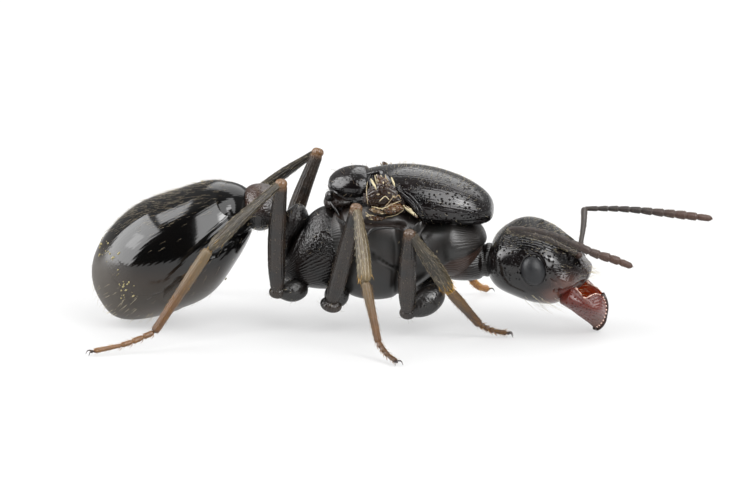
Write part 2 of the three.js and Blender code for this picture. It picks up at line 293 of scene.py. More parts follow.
def scatter(grid, count, rng, weight=1.0):
    """count random places on a grid, even by area times weight: roots, normals, directions along the
    piece, and shares round and along it. Area is the cross product of each cell's two sides."""
    across = np.roll(grid, -1, 1) - grid
    along = np.diff(grid, axis=0)
    area = np.linalg.norm(np.cross(across[:-1], along), axis=-1) * (weight * np.ones(grid.shape[:2]))[:-1]
    chance = area.ravel() / area.sum()
    cell = rng.choice(chance.size, count, p=chance)
    row, column = np.divmod(cell, grid.shape[1])
    a, b = rng.random((2, count, 1))
    right = (column + 1) % grid.shape[1]

    def blend(values):
        low = values[row, column] * (1 - a) + values[row, right] * a
        high = values[row + 1, column] * (1 - a) + values[row + 1, right] * a
        return low * (1 - b) + high * b

    shares = np.hstack([(column[:, None] + a) / grid.shape[1], (row[:, None] + b) / (grid.shape[0] - 1)])
    return blend(grid), unit(blend(normals(grid))), unit(blend(np.gradient(grid, axis=0))), shares


class Coat:
    """Setae gathered from several bodies into one piece."""

    def __init__(self, name, rng):
        self.name, self.rng, self.tile = name, rng, 0
        self.rows = []

    def grow(self, grid, count, length, lean, thick=0.009, curl=0.25, weight=1.0, pale=1.0, sweep=(0, 0, 0),
             spread=0.25):
        """Adds hairs on a grid. lean is the direction along the piece, from -1 to 1, that a hair tips
        to as it leaves the surface; sweep adds a fixed direction; curl bends its tip further over."""
        rng = self.rng
        root, out, along, share = scatter(grid, count, rng, weight)
        jitter = rng.normal(0, spread, (count, 3))
        way = unit(out + along * lean + np.array(sweep, float) + jitter)
        bend = unit(along * np.sign(lean + 1e-9) + np.array(sweep, float)) * curl
        size = length * rng.uniform(0.7, 1.25, (count, 1))
        corner = (np.array(divmod(self.tile, TILES)) + share * 0.98 + 0.01) / TILES
        self.tile += 1
        tint = np.clip(pale + rng.normal(0, 0.12, (count, 1)), 0, 1)
        thickness = np.full((count, 1), thick)
        self.rows.append(np.hstack([root - out * ROOT_DEPTH, way, bend, size, thickness, corner, tint]))

    def build(self, material):
        """Each hair's spine is root + way * s + bend * s^2, s from 0 to its length, in a three-sided
        tube that tapers to a point."""
        rows = np.vstack(self.rows)
        root, way, bend, size, thick, corner, tint = np.split(rows, [3, 6, 9, 10, 11, 13], axis=1)
        side = unit(np.cross(way, np.roll(way, 1, 1) + (0.1, 0.2, 0.3)))
        other = np.cross(way, side)
        share = np.linspace(0, 1, HAIR_JOINTS + 1)
        n, per = len(rows), HAIR_JOINTS * HAIR_SIDES + 1
        verts = np.empty((n, per, 3))
        for k, s in enumerate(share):
            centre = root + (way * s + bend * s * s) * size
            if k == HAIR_JOINTS:
                verts[:, -1] = centre
                break
            for j in range(HAIR_SIDES):
                turn = 2 * math.pi * j / HAIR_SIDES
                ring = (side * math.cos(turn) + other * math.sin(turn)) * thick * (1 - 0.85 * s)
                verts[:, k * HAIR_SIDES + j] = centre + ring
        verts[..., 2] = np.maximum(verts[..., 2], LEAST_HEIGHT)
        quads, tris = [], []
        for k in range(HAIR_JOINTS):
            for j in range(HAIR_SIDES):
                a, b = k * HAIR_SIDES + j, k * HAIR_SIDES + (j + 1) % HAIR_SIDES
                if k == HAIR_JOINTS - 1:
                    tris.append((a, b, per - 1))
                else:
                    quads.append((a, b, b + HAIR_SIDES, a + HAIR_SIDES))
        first = (np.arange(n) * per)[:, None, None]
        all_quads = (first + np.array(quads)).reshape(-1, 4)
        all_tris = (first + np.array(tris)).reshape(-1, 3)

        def patch(faces):
            spot = np.array(faces) % per
            shift = np.stack([(spot % HAIR_SIDES) / HAIR_SIDES, spot // HAIR_SIDES / HAIR_JOINTS], -1) * PATCH
            return (corner[:, None, None] + shift).reshape(-1, shift.shape[1], 2)

        piece = mesh_object(self.name, verts.reshape(-1, 3), all_quads, all_tris, "OFBake", patch(quads),
                            patch(tris), {"tint": np.repeat(tint, per, 1).ravel()}, material)
        return piece


# ---- materials ----

CHITIN_IOR = 1.56
WAVE_SCALE = 0.314          # the wave texture's scale for one ridge in each millimetre


def srgb(code):
    """Linear colour of an sRGB hex value."""
    s = np.array([int(code[i:i + 2], 16) for i in (1, 3, 5)]) / 255
    return (*np.where(s <= 0.04045, s / 12.92, ((s + 0.055) / 1.055) ** 2.4), 1.0)


def add(tree, kind, links=None, **settings):
    """Adds one node with its settings; links fills each input with a value or another node's output."""
    node = tree.nodes.new(kind)
    for key, value in settings.items():
        setattr(node, key, value)
    for key, value in (links or {}).items():
        if isinstance(value, bpy.types.NodeSocket):
            tree.links.new(value, node.inputs[key])
        else:
            node.inputs[key].default_value = value
    return node


def new_material(name):
    material = bpy.data.materials.new(name)
    material.use_nodes = True
    tree = material.node_tree
    tree.nodes.clear()
    shader = add(tree, "ShaderNodeBsdfPrincipled")
    add(tree, "ShaderNodeOutputMaterial", {"Surface": shader.outputs[0]})
    return material, tree, shader


def millimetres(tree):
    """The piece's own coordinates, in millimetres."""
    place = add(tree, "ShaderNodeTexCoord").outputs["Object"]
    links = {0: place, 1: (1000, 1000, 1000)}
    return add(tree, "ShaderNodeVectorMath", links, operation="MULTIPLY").outputs[0]


def relief(tree, shader, heights):
    """Chains bumps, each from a height of 0 to 1 and its depth in millimetres, into the shader."""
    normal = None
    for height, depth in heights:
        links = {"Height": height, "Strength": 1.0, "Distance": depth * MM}
        if normal:
            links["Normal"] = normal
        normal = add(tree, "ShaderNodeBump", links).outputs[0]
    tree.links.new(normal, shader.inputs["Normal"])


def masked(tree, height, mask):
    """A height that shows only where the piece's mask attribute is 1."""
    share = add(tree, "ShaderNodeAttribute", attribute_name=mask).outputs["Fac"]
    return add(tree, "ShaderNodeMath", {0: height, 1: share}, operation="MULTIPLY").outputs[0]


def chitin(name, dark, warm, roughness, pit=0.0, pit_step=0.08, stria=0.0, stria_step=0.07, grain=0.0,
           grain_step=0.06, swell=0.006, masks=False, dust=None, groove=0.0, cloudy=0.10, rim=0.0):
    """Hardened insect shell: a wax-coated polymer over black or brown pigment, smooth as lacquer between
    pits (hair sockets), striae (fine ridges along the piece) and grains. Inside the pits the shine is cut, as
    painted shade, and groove is the share of shine cut in the striae's troughs, also as painted shade.
    Depths and steps are in millimetres. Where the mask "amber" is 1 it takes the warm colour of thin,
    see-through shell, where the mask "dust" is 1 a dull film of the dust colour, and where the mask
    "crevice" is 1 its shine is cut: painted shade in grooves, hollows and undersides and on parts in the
    body's shadow. rim is the share of shine that the fine down along a limb's edges takes away."""
    material, tree, shader = new_material(name)
    place = millimetres(tree)
    cloud = add(tree, "ShaderNodeTexNoise", {"Vector": place, "Scale": 2.2, "Detail": 3.0}).outputs["Fac"]
    amber = add(tree, "ShaderNodeAttribute", attribute_name="amber").outputs["Fac"]
    links = {"Value": cloud, "From Min": 0.35, "From Max": 0.85, "To Min": 0.0, "To Max": cloudy}
    haze = add(tree, "ShaderNodeMapRange", links).outputs[0]
    share = add(tree, "ShaderNodeMath", {0: haze, 1: amber}, operation="ADD", use_clamp=True).outputs[0]
    links = {0: share, 6: srgb(dark), 7: srgb(warm)}
    colour = add(tree, "ShaderNodeMix", links, data_type="RGBA").outputs[2]
    links = {"Value": cloud, "From Min": 0.3, "From Max": 0.8, "To Min": roughness * 0.85,
             "To Max": roughness * 1.25}
    smear = add(tree, "ShaderNodeMapRange", links).outputs[0]
    if dust:
        film = add(tree, "ShaderNodeAttribute", attribute_name="dust").outputs["Fac"]
        links = {0: film, 6: colour, 7: srgb(dust)}
        colour = add(tree, "ShaderNodeMix", links, data_type="RGBA").outputs[2]
        smear = add(tree, "ShaderNodeMix", {0: film, 2: smear, 3: 0.5}).outputs[0]
    tree.links.new(colour, shader.inputs["Base Color"])
    tree.links.new(smear, shader.inputs["Roughness"])
    shader.inputs["IOR"].default_value = CHITIN_IOR
    swelling = add(tree, "ShaderNodeTexNoise", {"Vector": place, "Scale": 1.6, "Detail": 1.0})
    heights = [(swelling.outputs["Fac"], swell)]
    # Painted shade: where the mask "crevice" is 1 the shine is cut.
    dull = add(tree, "ShaderNodeAttribute", attribute_name="crevice").outputs["Fac"]
    if pit:
        cells = add(tree, "ShaderNodeTexVoronoi", {"Vector": place, "Scale": 1 / pit_step})
        links = {"Value": cells.outputs["Distance"], "From Min": 0.18, "From Max": 0.4}
        bowl = add(tree, "ShaderNodeMapRange", links, interpolation_type="SMOOTHSTEP").outputs[0]
        # Painted shade: the shine is cut inside each pit.
        hole = add(tree, "ShaderNodeMath", {0: 1.0, 1: bowl}, operation="SUBTRACT").outputs[0]
        if masks:
            hole, bowl = masked(tree, hole, "pitted"), masked(tree, bowl, "pitted")
        dull = add(tree, "ShaderNodeMath", {0: hole, 1: dull}, operation="MAXIMUM").outputs[0]
        heights.append((bowl, pit))
    if stria:
        lay = add(tree, "ShaderNodeUVMap", uv_map="Lay").outputs[0]
        links = {"Vector": lay, "Scale": WAVE_SCALE / stria_step, "Distortion": 2.2, "Detail": 2.0,
                 "Detail Scale": 1.2}
        waves = add(tree, "ShaderNodeTexWave", links, bands_direction="X").outputs["Fac"]
        heights.append((masked(tree, waves, "striate") if masks else waves, stria))
        # Painted shade: the shine is cut in the striae's troughs, by up to the share groove.
        if groove:
            links = {"Value": waves, "From Min": 0.2, "From Max": 0.7, "To Min": groove, "To Max": 0.0}
            low = masked(tree, add(tree, "ShaderNodeMapRange", links).outputs[0], "striate")
            dull = add(tree, "ShaderNodeMath", {0: low, 1: dull}, operation="MAXIMUM").outputs[0]
    if grain:
        cells = add(tree, "ShaderNodeTexVoronoi", {"Vector": place, "Scale": 1 / grain_step},
                    feature="SMOOTH_F1")
        links = {0: 1.0, 1: cells.outputs["Distance"]}
        lumps = add(tree, "ShaderNodeMath", links, operation="SUBTRACT").outputs[0]
        heights.append((masked(tree, lumps, "grainy") if masks else lumps, grain))
    if rim:
        facing = add(tree, "ShaderNodeLayerWeight", {"Blend": 0.5}).outputs["Facing"]
        links = {"Value": facing, "From Min": 0.3, "From Max": 0.8, "To Min": 0.0, "To Max": rim}
        fade = add(tree, "ShaderNodeMapRange", links).outputs[0]
        dull = add(tree, "ShaderNodeMath", {0: fade, 1: dull}, operation="MAXIMUM").outputs[0]
    shine = add(tree, "ShaderNodeMapRange", {"Value": dull, "To Min": 0.5, "To Max": 0.04}).outputs[0]
    tree.links.new(shine, shader.inputs["Specular IOR Level"])
    relief(tree, shader, heights)
    return material


def seta_material(name, dark, pale):
    """Insect setae: hollow bristles of clear chitin, straw to white, that glow where light comes through.
    The mask "tint" runs from the dark colour at 0 to the pale one at 1."""
    material, tree, shader = new_material(name)
    tint = add(tree, "ShaderNodeAttribute", attribute_name="tint").outputs["Fac"]
    colour = add(tree, "ShaderNodeMix", {0: tint, 6: srgb(dark), 7: srgb(pale)}, data_type="RGBA")
    tree.links.new(colour.outputs[2], shader.inputs["Base Color"])
    shader.inputs["Roughness"].default_value = 0.4
    shader.inputs["IOR"].default_value = 1.55
    return material


LENS_WIDTH = 0.03           # a little wider than real ones, so that they show


def eye_material():
    """A compound eye: a satin grey-black dome of hexagonal lenses."""
    material, tree, shader = new_material("compound_eye_facets")
    place = millimetres(tree)
    cells = add(tree, "ShaderNodeTexVoronoi", {"Vector": place, "Scale": 1 / LENS_WIDTH, "Randomness": 0.35})
    dome = add(tree, "ShaderNodeMath", {0: 1.0, 1: cells.outputs["Distance"]}, operation="SUBTRACT")
    relief(tree, shader, [(dome.outputs[0], 0.004)])
    shader.inputs["Base Color"].default_value = srgb("#141518")
    shader.inputs["Roughness"].default_value = 0.42
    shader.inputs["IOR"].default_value = 1.5
    return material


BLACK = chitin("chitin_black_polished", "#090809", "#3a1c10", 0.16, pit=0.012, pit_step=0.09, stria=0.003,
               stria_step=0.05, swell=0.014, masks=True)
COXA = chitin("chitin_coxa_black", "#151413", "#3a1c10", 0.3, grain=0.010, grain_step=0.05, rim=0.7)
FEMUR = chitin("chitin_femur_black_brown", "#161413", "#84603e", 0.26, stria=0.005, stria_step=0.05,
               grain=0.004, grain_step=0.05, rim=0.95)
GASTER = chitin("chitin_black_lacquered", "#060606", "#4a3014", 0.09, stria=0.0006, stria_step=0.05,
                swell=0.004, dust="#352e24", cloudy=0.01)
HEAD = chitin("chitin_black_striate_head", "#0a090a", "#6e4c42", 0.15, pit=0.03, pit_step=0.09, stria=0.014,
              stria_step=0.055, masks=True, groove=0.85, cloudy=0.03)
RUGOSE = chitin("chitin_black_rugose", "#0a0909", "#4c3226", 0.22, stria=0.007, stria_step=0.055, grain=0.018,
                grain_step=0.04, masks=True, groove=0.6)
SATIN = chitin("chitin_black_satin", "#141413", "#4c3226", 0.36, stria=0.006, stria_step=0.06, grain=0.004,
               grain_step=0.04, masks=True, groove=0.5)
SHIN = chitin("chitin_shin_olive_brown", "#14110b", "#806c46", 0.34, stria=0.008, stria_step=0.05,
              grain=0.002, grain_step=0.03, rim=0.5)
FOOT = chitin("chitin_foot_amber", "#2c1a0a", "#86592a", 0.38, stria=0.006, stria_step=0.04, cloudy=0.35,
              dust="#5c523a")
FEELER = chitin("chitin_feeler_brown", "#1a120d", "#54301e", 0.5, grain=0.005, grain_step=0.03)
# The warm colour, a bright orange, shows only in the jaws' inner hollows: partly the blade's own red-orange,
# partly painted light for the light that shines through the thin blade into the shaded hollow.
JAW = chitin("chitin_jaw_red", "#521d15", "#b03c0a", 0.28, pit=0.012, pit_step=0.08, stria=0.009,
             stria_step=0.06, masks=True, dust="#4c3d30")
# A pale rose shell for the jaw's edge and pegs: painted glints, standing for the highlights along the thin
# edge.
GLINT_RIM = chitin("chitin_jaw_rim_painted_glints", "#c8a698", "#e8d0c6", 0.12)
# Its dust colour is a cream, partly the torn root's own pale colour and partly painted highlight.
SCAR = chitin("chitin_wing_root_torn", "#140907", "#6c4824", 0.2, grain=0.014, grain_step=0.06, stria=0.010,
              stria_step=0.05, dust="#c4b894")
CLAW = chitin("chitin_claw_brown", "#22110a", "#7a4418", 0.2)
GRAIN = chitin("grains_of_quartz_sand", "#8d8258", "#b9ad84", 0.45)
SETA = seta_material("setae_clear_chitin", "#4a3320", "#d2c6a6")
GOLD = seta_material("setae_golden_chitin", "#5a3410", "#d8a84a")
EYES = eye_material()


# ---- head ----

PIT = (5.47, 0.66, 1.92)                # the socket of the left feeler
TEETH = 9
LENS = (4.58, 1.27, 1.74)               # middle of the left eye's dome
# The grooves over the jaw's base and up the cheek, in side view, X and Z.
JAW_SEAM = [[5.12, 1.24], [5.3, 1.2], [5.5, 1.24], [5.7, 1.34]]
CHEEK_SEAM = [[5.0, 1.62], [5.14, 1.5], [5.24, 1.3]]


def head_grid():
    """The head with, on each side, the lobe over the jaw, a swollen rear corner, a ridge beside the
    feeler, the feeler's sunk socket in its raised ring, the furrow round the eye, and two seams. The
    plate above the mouth stands out by 0.03 mm."""
    grid = pod([[3.42, 0, 1.85], [4.7, 0, 1.7], [5.9, 0, 1.53]],
               width=[1.3, 1.38, 1.39, 1.26, 0.98], rise=[0.96, 1.1, 0.97, 0.7, 0.14],
               drop=[1.08, 0.94, 0.96, 0.95, 0.54], blunt=0.8, side_blunt=0.42, square=2.15, rows=170,
               columns=210)
    for way in SIDES.values():
        pit = mirrored(PIT, way)
        grid = push(grid, 0.17 * bump(grid, (5.34, way * 1.05, 1.46), (0.26, 0.4, 0.17)))
        grid = push(grid, 0.05 * bump(grid, (3.68, way * 0.95, 2.15), (0.24, 0.5, 0.45)))
        grid = push(grid, 0.07 * bump(grid, (5.45, way * 0.28, 2.12), (0.3, 0.09, 0.2)))
        grid = push(grid, 0.05 * furrow_round(grid, pit, (0.27, 0.3, 0.29), 0.2))
        grid = push(grid, -0.36 * bump(grid, pit, (0.19, 0.24, 0.19)))
        grid = push(grid, -0.05 * furrow_round(grid, mirrored(LENS, way), (0.27, 0.6, 0.41), 0.13))
        flank = ramp(way * grid[..., 1], 0.5, 0.8)
        grid = push(grid, -0.09 * flank * line(grid, JAW_SEAM, 0.045))
        grid = push(grid, -0.03 * flank * line(grid, CHEEK_SEAM, 0.035))
    plate = ramp(grid[..., 0], 5.5, 5.6) * ramp(0.62 - np.abs(grid[..., 1]), 0, 0.06)
    plate = plate * ramp(grid[..., 2], 1.15, 1.25) * ramp(1.95 - grid[..., 2], 0, 0.06)
    return push(grid, 0.03 * plate)


def furrow_round(grid, centre, size, width):
    """1 on the outline of an oval and falling to 0 within width, a share of its size, as a bell curve."""
    away = np.sqrt((((grid - centre) / size) ** 2).sum(-1))
    return np.exp(-((away - 1) / width) ** 2)


def head_masks(grid):
    x, y, z = np.moveaxis(grid, -1, 0)
    side = np.abs(y)
    striate = ramp(z, 2.15, 2.4) * (1 - ramp(x, 5.6, 5.8)) + 0.15 * ramp(z, 1.45, 1.7) * ramp(x, 5.0, 5.25)
    pitted = ramp(x, 3.5, 3.7) * ramp(z, 1.35, 1.7) * np.maximum(ramp(side, 0.3, 0.7), ramp(z, 2.2, 2.4))
    lobe = sum(bump(grid, (5.34, way * 1.05, 1.42), (0.3, 0.5, 0.2)) for way in SIDES.values())
    # Painted shade: the feeler's sunk socket loses its shine through the mask "crevice".
    socket = sum(bump(grid, mirrored(PIT, way), (0.24, 0.4, 0.22)) for way in SIDES.values())
    under = ramp(x, 4.6, 5.1) * ramp(1.4 - z, 0, 0.3)
    amber = 0.7 * under + 0.7 * lobe + 0.12 * ramp(x, 5.6, 5.9)
    return {"striate": np.clip(striate, 0, 1), "pitted": pitted, "amber": np.clip(amber, 0, 1),
            "crevice": np.clip(1.3 * socket, 0, 0.95)}


def add_head():
    grid = head_grid()
    add_piece("head_shell", HEAD, "cuticle", (grid, head_masks(grid)), replaces=["head"])
    ocelli = [pod([[x - 0.05, y, z], [x + 0.05, y, z]], [0.055] * 2, [0.055] * 2, rows=16, columns=24)
              for x, y, z in ((4.72, 0, 2.71), (4.46, 0.2, 2.7), (4.46, -0.2, 2.7))]
    add_piece("ocelli", GASTER, "cuticle", *ocelli)
    return grid


def add_eyes():
    for hand, way in SIDES.items():
        eye = pod([[-0.365, 0, 0], [0.365, 0, 0]], [0.24] * 2, [0.3] * 2, rows=56, columns=72)
        lean = 0.3
        x = eye[..., 2] * math.cos(lean) - eye[..., 0] * math.sin(lean)
        z = eye[..., 2] * math.sin(lean) + eye[..., 0] * math.cos(lean)
        dome = np.stack([x, eye[..., 1], z], -1) + mirrored(LENS, way)
        add_piece(f"eye_{hand}_lens", EYES, "eye", dome, replaces=[f"eye_{hand}"])


def mandible_grid(way):
    """A curved blade. It runs from its base to the toothed edge, s from 0 to 1, between its lower edge,
    w = -1, and its upper one, w = 1, swelling outwards as 1 - w^2; each row of the grid is a thin
    closed oval across the blade, and the last rows reach further by 1 - w^2 and by a zigzag of teeth."""
    rows, columns = 110, 110
    s = np.linspace(0, 1, rows + 1)
    lower = spline([[5.14, 0.94, 0.93], [5.45, 0.85, 0.72], [5.685, 0.66, 0.5], [5.885, 0.4, 0.29],
                    [6.07, 0.06, 0.03]], s)
    upper = spline([[5.4, 0.94, 1.36], [5.63, 0.8, 1.22], [5.85, 0.56, 1.08], [6.07, 0.29, 1.0],
                    [6.26, 0.05, 0.86]], s)
    turn = np.linspace(0, 2 * np.pi, columns, endpoint=False)
    w, face = np.cos(turn), np.sin(turn)
    middle, half = (lower + upper) / 2, (upper - lower) / 2
    ahead = unit(np.gradient(middle, axis=0))
    out = unit(np.cross(ahead, unit(half)))
    out *= np.sign((out * (0, 1, 0)).sum(-1, keepdims=True))
    swell = 0.24 * np.sin(np.pi * s ** 0.8) + 0.06
    thick = np.interp(s, [0, 0.15, 0.6, 0.9, 1], [0.2, 0.15, 0.1, 0.07, 0.035])
    close = np.sqrt(np.minimum(s / 0.06, 1)) * np.sqrt(np.clip((1 - s) / 0.015, 0, 1))
    inner_face = np.where(face < 0, 1.6, 1.0)
    lift = (swell[:, None] * (1 - w ** 2) + thick[:, None] * face * inner_face) * close[:, None]
    deep = 0.5 if way < 0 else 0.1
    dip = -deep * np.exp(-((s - 0.45) / 0.17) ** 2)[:, None] * ramp(w, -0.5, 1.0)
    grid = middle[:, None] + half[:, None] * ((w + dip) * close[:, None])[..., None]
    grid = grid + out[:, None] * lift[..., None]
    teeth = np.abs((w * 4.5 + 0.25) % 1 - 0.5) * 2
    reach = 0.09 * ramp(s, 0.5, 1.0)[:, None] + 0.07 * ramp(s, 0.94, 0.99)[:, None] * teeth
    reach = reach * (1 - w ** 2) ** 0.6
    grid = grid + ahead[:, None] * reach[..., None]
    grid[[0, -1]] = grid[[0, -1]].mean(1, keepdims=True)
    return grid * (1, way, 1), s, w, face


def add_mandibles():
    for hand, way in SIDES.items():
        grid, s, w, face = mandible_grid(way)
        edge = ramp(s, 0.84, 0.98)[:, None]
        # The inner hollow: the mask "amber" paints it bright orange, partly its own colour and partly painted
        # light shining through the blade, and the mask "crevice" cuts its shine as painted shade.
        hollow = ramp(-face, 0.0, 0.3) * np.ones_like(edge)
        low = ramp(s, 0.45, 0.95)[:, None] * ramp(0.2 - w, 0, 0.8)
        masks = {"amber": np.clip(0.75 * hollow * (1 - edge), 0, 1),
                 "dust": (0.55 * low + 0.1 * edge) * (1 - hollow),
                 "striate": ramp(s, 0.3, 0.7)[:, None] * (1 - hollow), "crevice": 0.85 * hollow,
                 "pitted": (1 - ramp(s, 0.6, 0.9)[:, None]) * (1 - hollow)}
        # The rim along the upper edge and the pegs by the toothed margin are pale rose: painted glints.
        top = grid[20:-12:4, 0]
        beads = 0.02 + 0.008 * np.sin(np.linspace(0, 34, 40))
        rim = limb(top, beads * np.linspace(1.5, 0.6, 40), rows=120, columns=8)
        hinge = pod([[5.12, way * 0.9, 1.2], [5.3, way * 0.98, 1.24], [5.52, way * 0.92, 1.3]], [0.12] * 3,
                    [0.1, 0.11, 0.08], rows=24, columns=32)
        add_piece(f"mandible_{hand}_blade", JAW, "jaw", (grid, masks), (hinge, {"pitted": 0.5}),
                  replaces=[f"mandible_{hand}"])
        pegs = [pod([peg - (0.01, 0, 0.02), peg + (0.01, 0, 0.02)], [0.028] * 2, [0.028] * 2, rows=8,
                    columns=8) for peg in grid[-12, 6:50:4]]
        add_piece(f"mandible_{hand}_rim", GLINT_RIM, "jaw", rim, *pegs)
        columns = grid.shape[1]
        margin = [grid[-4, c] for c in range(2, columns // 2 - 1, 5)]
        teeth = [limb(margin, [0.02, 0.035, 0.035, 0.03], rows=60, columns=12)]
        for column in np.linspace(3, columns // 2 - 3, TEETH).astype(int):
            base = (grid[-9, column] + grid[-9, -column]) / 2
            ahead = unit(grid[-3, column] - grid[-22, column])
            size = 1.3 if column < 8 else 1.0
            teeth.append(spike([base - ahead * 0.04, base + ahead * 0.06 * size,
                                base + ahead * 0.15 * size], 0.056))
        add_piece(f"teeth_{hand}", CLAW, "jaw", *teeth)


def add_mouthparts():
    """The lower lip and its two palps, tucked up under the head between the jaws."""
    lip = pod([[4.95, 0, 0.96], [5.25, 0, 0.93], [5.58, 0, 0.92]], [0.42, 0.38, 0.28], [0.15, 0.13, 0.09],
              blunt=0.7, rows=40, columns=48)
    palps = [limb([mirrored(p, way) for p in ((5.1, 0.22, 0.88), (5.36, 0.26, 0.84), (5.6, 0.16, 0.85))],
                  [0.05, 0.045, 0.03], rows=30, columns=12) for way in SIDES.values()]
    add_piece("mouthparts", CLAW, "jaw", lip, *palps)


# ---- antennae ----

ANTENNAE = {
    "right": {
        "scape": [[5.62, -0.62, 2.03], [4.83, -1.2, 2.53], [4.0, -1.75, 2.84]],
        "lash": [[4.0, -1.75, 2.88], [4.55, -1.8, 2.865], [5.08, -1.84, 2.76], [5.58, -1.84, 2.55],
                 [6.07, -1.83, 2.33], [6.55, -1.8, 2.175], [7.0, -1.75, 1.995]],
    },
    "left": {
        "scape": [[5.62, 0.56, 2.0], [5.65, 1.4, 2.34], [5.62, 2.3, 2.56]],
        "lash": [[5.6, 2.3, 2.57], [6.6, 2.42, 2.55], [7.7, 2.52, 2.44], [8.78, 2.6, 2.31]],
    },
}
LASH_JOINTS = 11


def jointed(t, edges, waist):
    """A radius factor for a chain of joints whose ends are at the shares in edges: each joint widens
    towards its end and is pinched to waist where the next begins."""
    i = np.clip(np.searchsorted(edges, t, side="right") - 1, 0, len(edges) - 2)
    u = (t - edges[i]) / (edges[i + 1] - edges[i])
    pinch = (1 - np.exp(-u / 0.10)) * (1 - np.exp(-(1 - u) / 0.045))
    return (waist + (1 - waist) * pinch) * (0.86 + 0.14 * u)


def chain(path, radius, edges, waist, rows, columns=20):
    """A limb of joints along a path."""
    t = np.linspace(0, 1, rows + 1)
    r = level(radius, t) * jointed(t, np.asarray(edges), waist)
    r *= np.sqrt(np.clip(t / 0.02, 0, 1)) * np.sqrt(np.clip((1 - t) / 0.03, 0, 1))
    side = unit(np.cross(np.subtract(path[-1], path[0]), (1, 0, 0.4)))
    return tube(path, t, r, r, side=side, columns=columns)


def add_antennae(rng):
    coat = Coat("setae_feelers", rng)
    for hand, shape in ANTENNAE.items():
        scape = limb(shape["scape"], [0.06, 0.06, 0.068, 0.075, 0.08], rows=48)
        base = np.array(shape["scape"][0])
        knob = pod([base + (0.03, 0, -0.1), base + (0, 0, 0.06)], [0.1] * 2, [0.1] * 2, rows=16, columns=24)
        # The knob, sunk in the socket, loses part of its shine through the mask "crevice": painted shade.
        add_piece(f"scape_{hand}_shell", FEELER, "feeler", scape, (knob, {"amber": 0.15, "crevice": 0.4}),
                  replaces=[f"scape_{hand}"])
        edges = np.concatenate([[0], np.linspace(0.12, 0.88, LASH_JOINTS - 1), [1]])
        lash = chain(shape["lash"], [0.062, 0.074, 0.086, 0.102, 0.112, 0.075], edges, 0.7, rows=176)
        t = np.linspace(0, 1, 177)
        warm = ramp(t, 0.4, 0.9)[:, None] * 0.45
        add_piece(f"funiculus_{hand}_shell", FEELER, "feeler", (lash, {"amber": warm}),
                  replaces=[f"funiculus_{hand}"])
        coat.grow(scape, 340, 0.08, 2.0, thick=0.003, pale=0.75 if hand == "right" else 0.1)
        coat.grow(lash, 1100, 0.055, 2.4, thick=0.0023, pale=0.15)
    coat.build(SETA)


# ---- mesosoma, the middle of the body ----

def scutum_grid():
    grid = pod([[-0.3, 0, 3.08], [1.6, 0, 3.12], [3.52, 0, 2.86]],
               width=[0.95, 1.12, 1.14, 1.13, 1.06], rise=[1.0, 0.94, 0.92, 0.88, 0.84],
               drop=[0.5, 0.5, 0.42, 0.4, 0.4], blunt=0.75, side_blunt=0.52, square=2.2, rows=140,
               columns=160)
    x, y, z = np.moveaxis(grid, -1, 0)
    flank = ramp(np.abs(y), 0.3, 0.5)
    edge = np.interp(z, [2.9, 3.3, 3.55, 3.64, 3.82, 4.0], [1.84, 1.58, 1.3, 1.2, 1.05, 0.8])
    furrow = line(grid, [[1.36, 3.66], [1.5, 3.5], [1.72, 3.3], [1.94, 2.98]], 0.04) * flank
    grid = push(grid, -0.22 * ramp(edge - x, -0.02, 0.08) * flank)
    grid = push(grid, -0.05 * furrow)
    return push(grid, -0.04 * line(grid, [[1.6, 2.95], [2.2, 2.84], [3.4, 2.84]], 0.04) * flank)


# Thin ridges in side view, X and Z, along the rear edge of the scutum and across the side of the thorax.
SCUTUM_RIDGES = [[[1.27, 3.64], [1.39, 3.55], [1.69, 3.3], [1.87, 2.95]],
                 [[1.44, 3.6], [1.59, 3.5], [1.77, 3.32], [1.92, 3.09]]]
PLEURON_RIDGE = [[0.5, 2.42], [0.64, 2.63], [0.83, 2.69], [1.1, 2.69], [1.39, 2.62]]
PRONOTUM_EDGE = [[2.3, 1.75], [2.59, 1.94], [2.93, 2.02], [3.17, 2.12], [3.3, 2.2]]
PRONOTUM_RIM = [[1.93, 2.72], [2.12, 2.8], [2.35, 2.78], [2.8, 2.73]]
# The left half of the rim round the scutellum's rear.
SCUTELLUM_RIM = [[0.29, 0.8, 3.35], [0.02, 0.76, 3.34], [-0.13, 0.7, 3.39], [-0.26, 0.62, 3.46],
                 [-0.42, 0.35, 3.5], [-0.48, 0, 3.52]]


# The paths of the metanotum's fold and of the first of its five ribs, on the left side.
METANOTUM_FOLD = ((-0.41, 0.62, 3.25), (-0.27, 0.78, 3.1), (-0.15, 0.88, 2.93))
METANOTUM_RIB = ((-0.24, 0.9, 2.93), (-0.19, 0.94, 2.85), (-0.14, 0.95, 2.76))
METANOTUM_RIBS = 5
# The seams across the side of the thorax, in side view, X and Z, each with its half width.
PLEURON_SEAMS = [
    ([[0.2, 2.35], [0.74, 2.02], [1.2, 1.72], [1.6, 1.6]], 0.035),
    ([[1.3, 2.7], [1.35, 2.1], [1.25, 1.5], [1.2, 0.9]], 0.07),
    ([[-0.2, 3.0], [0.0, 2.4], [-0.15, 1.7], [-0.2, 1.1]], 0.05),
    ([[0.1, 2.78], [0.7, 2.78], [1.4, 2.75]], 0.05),
]


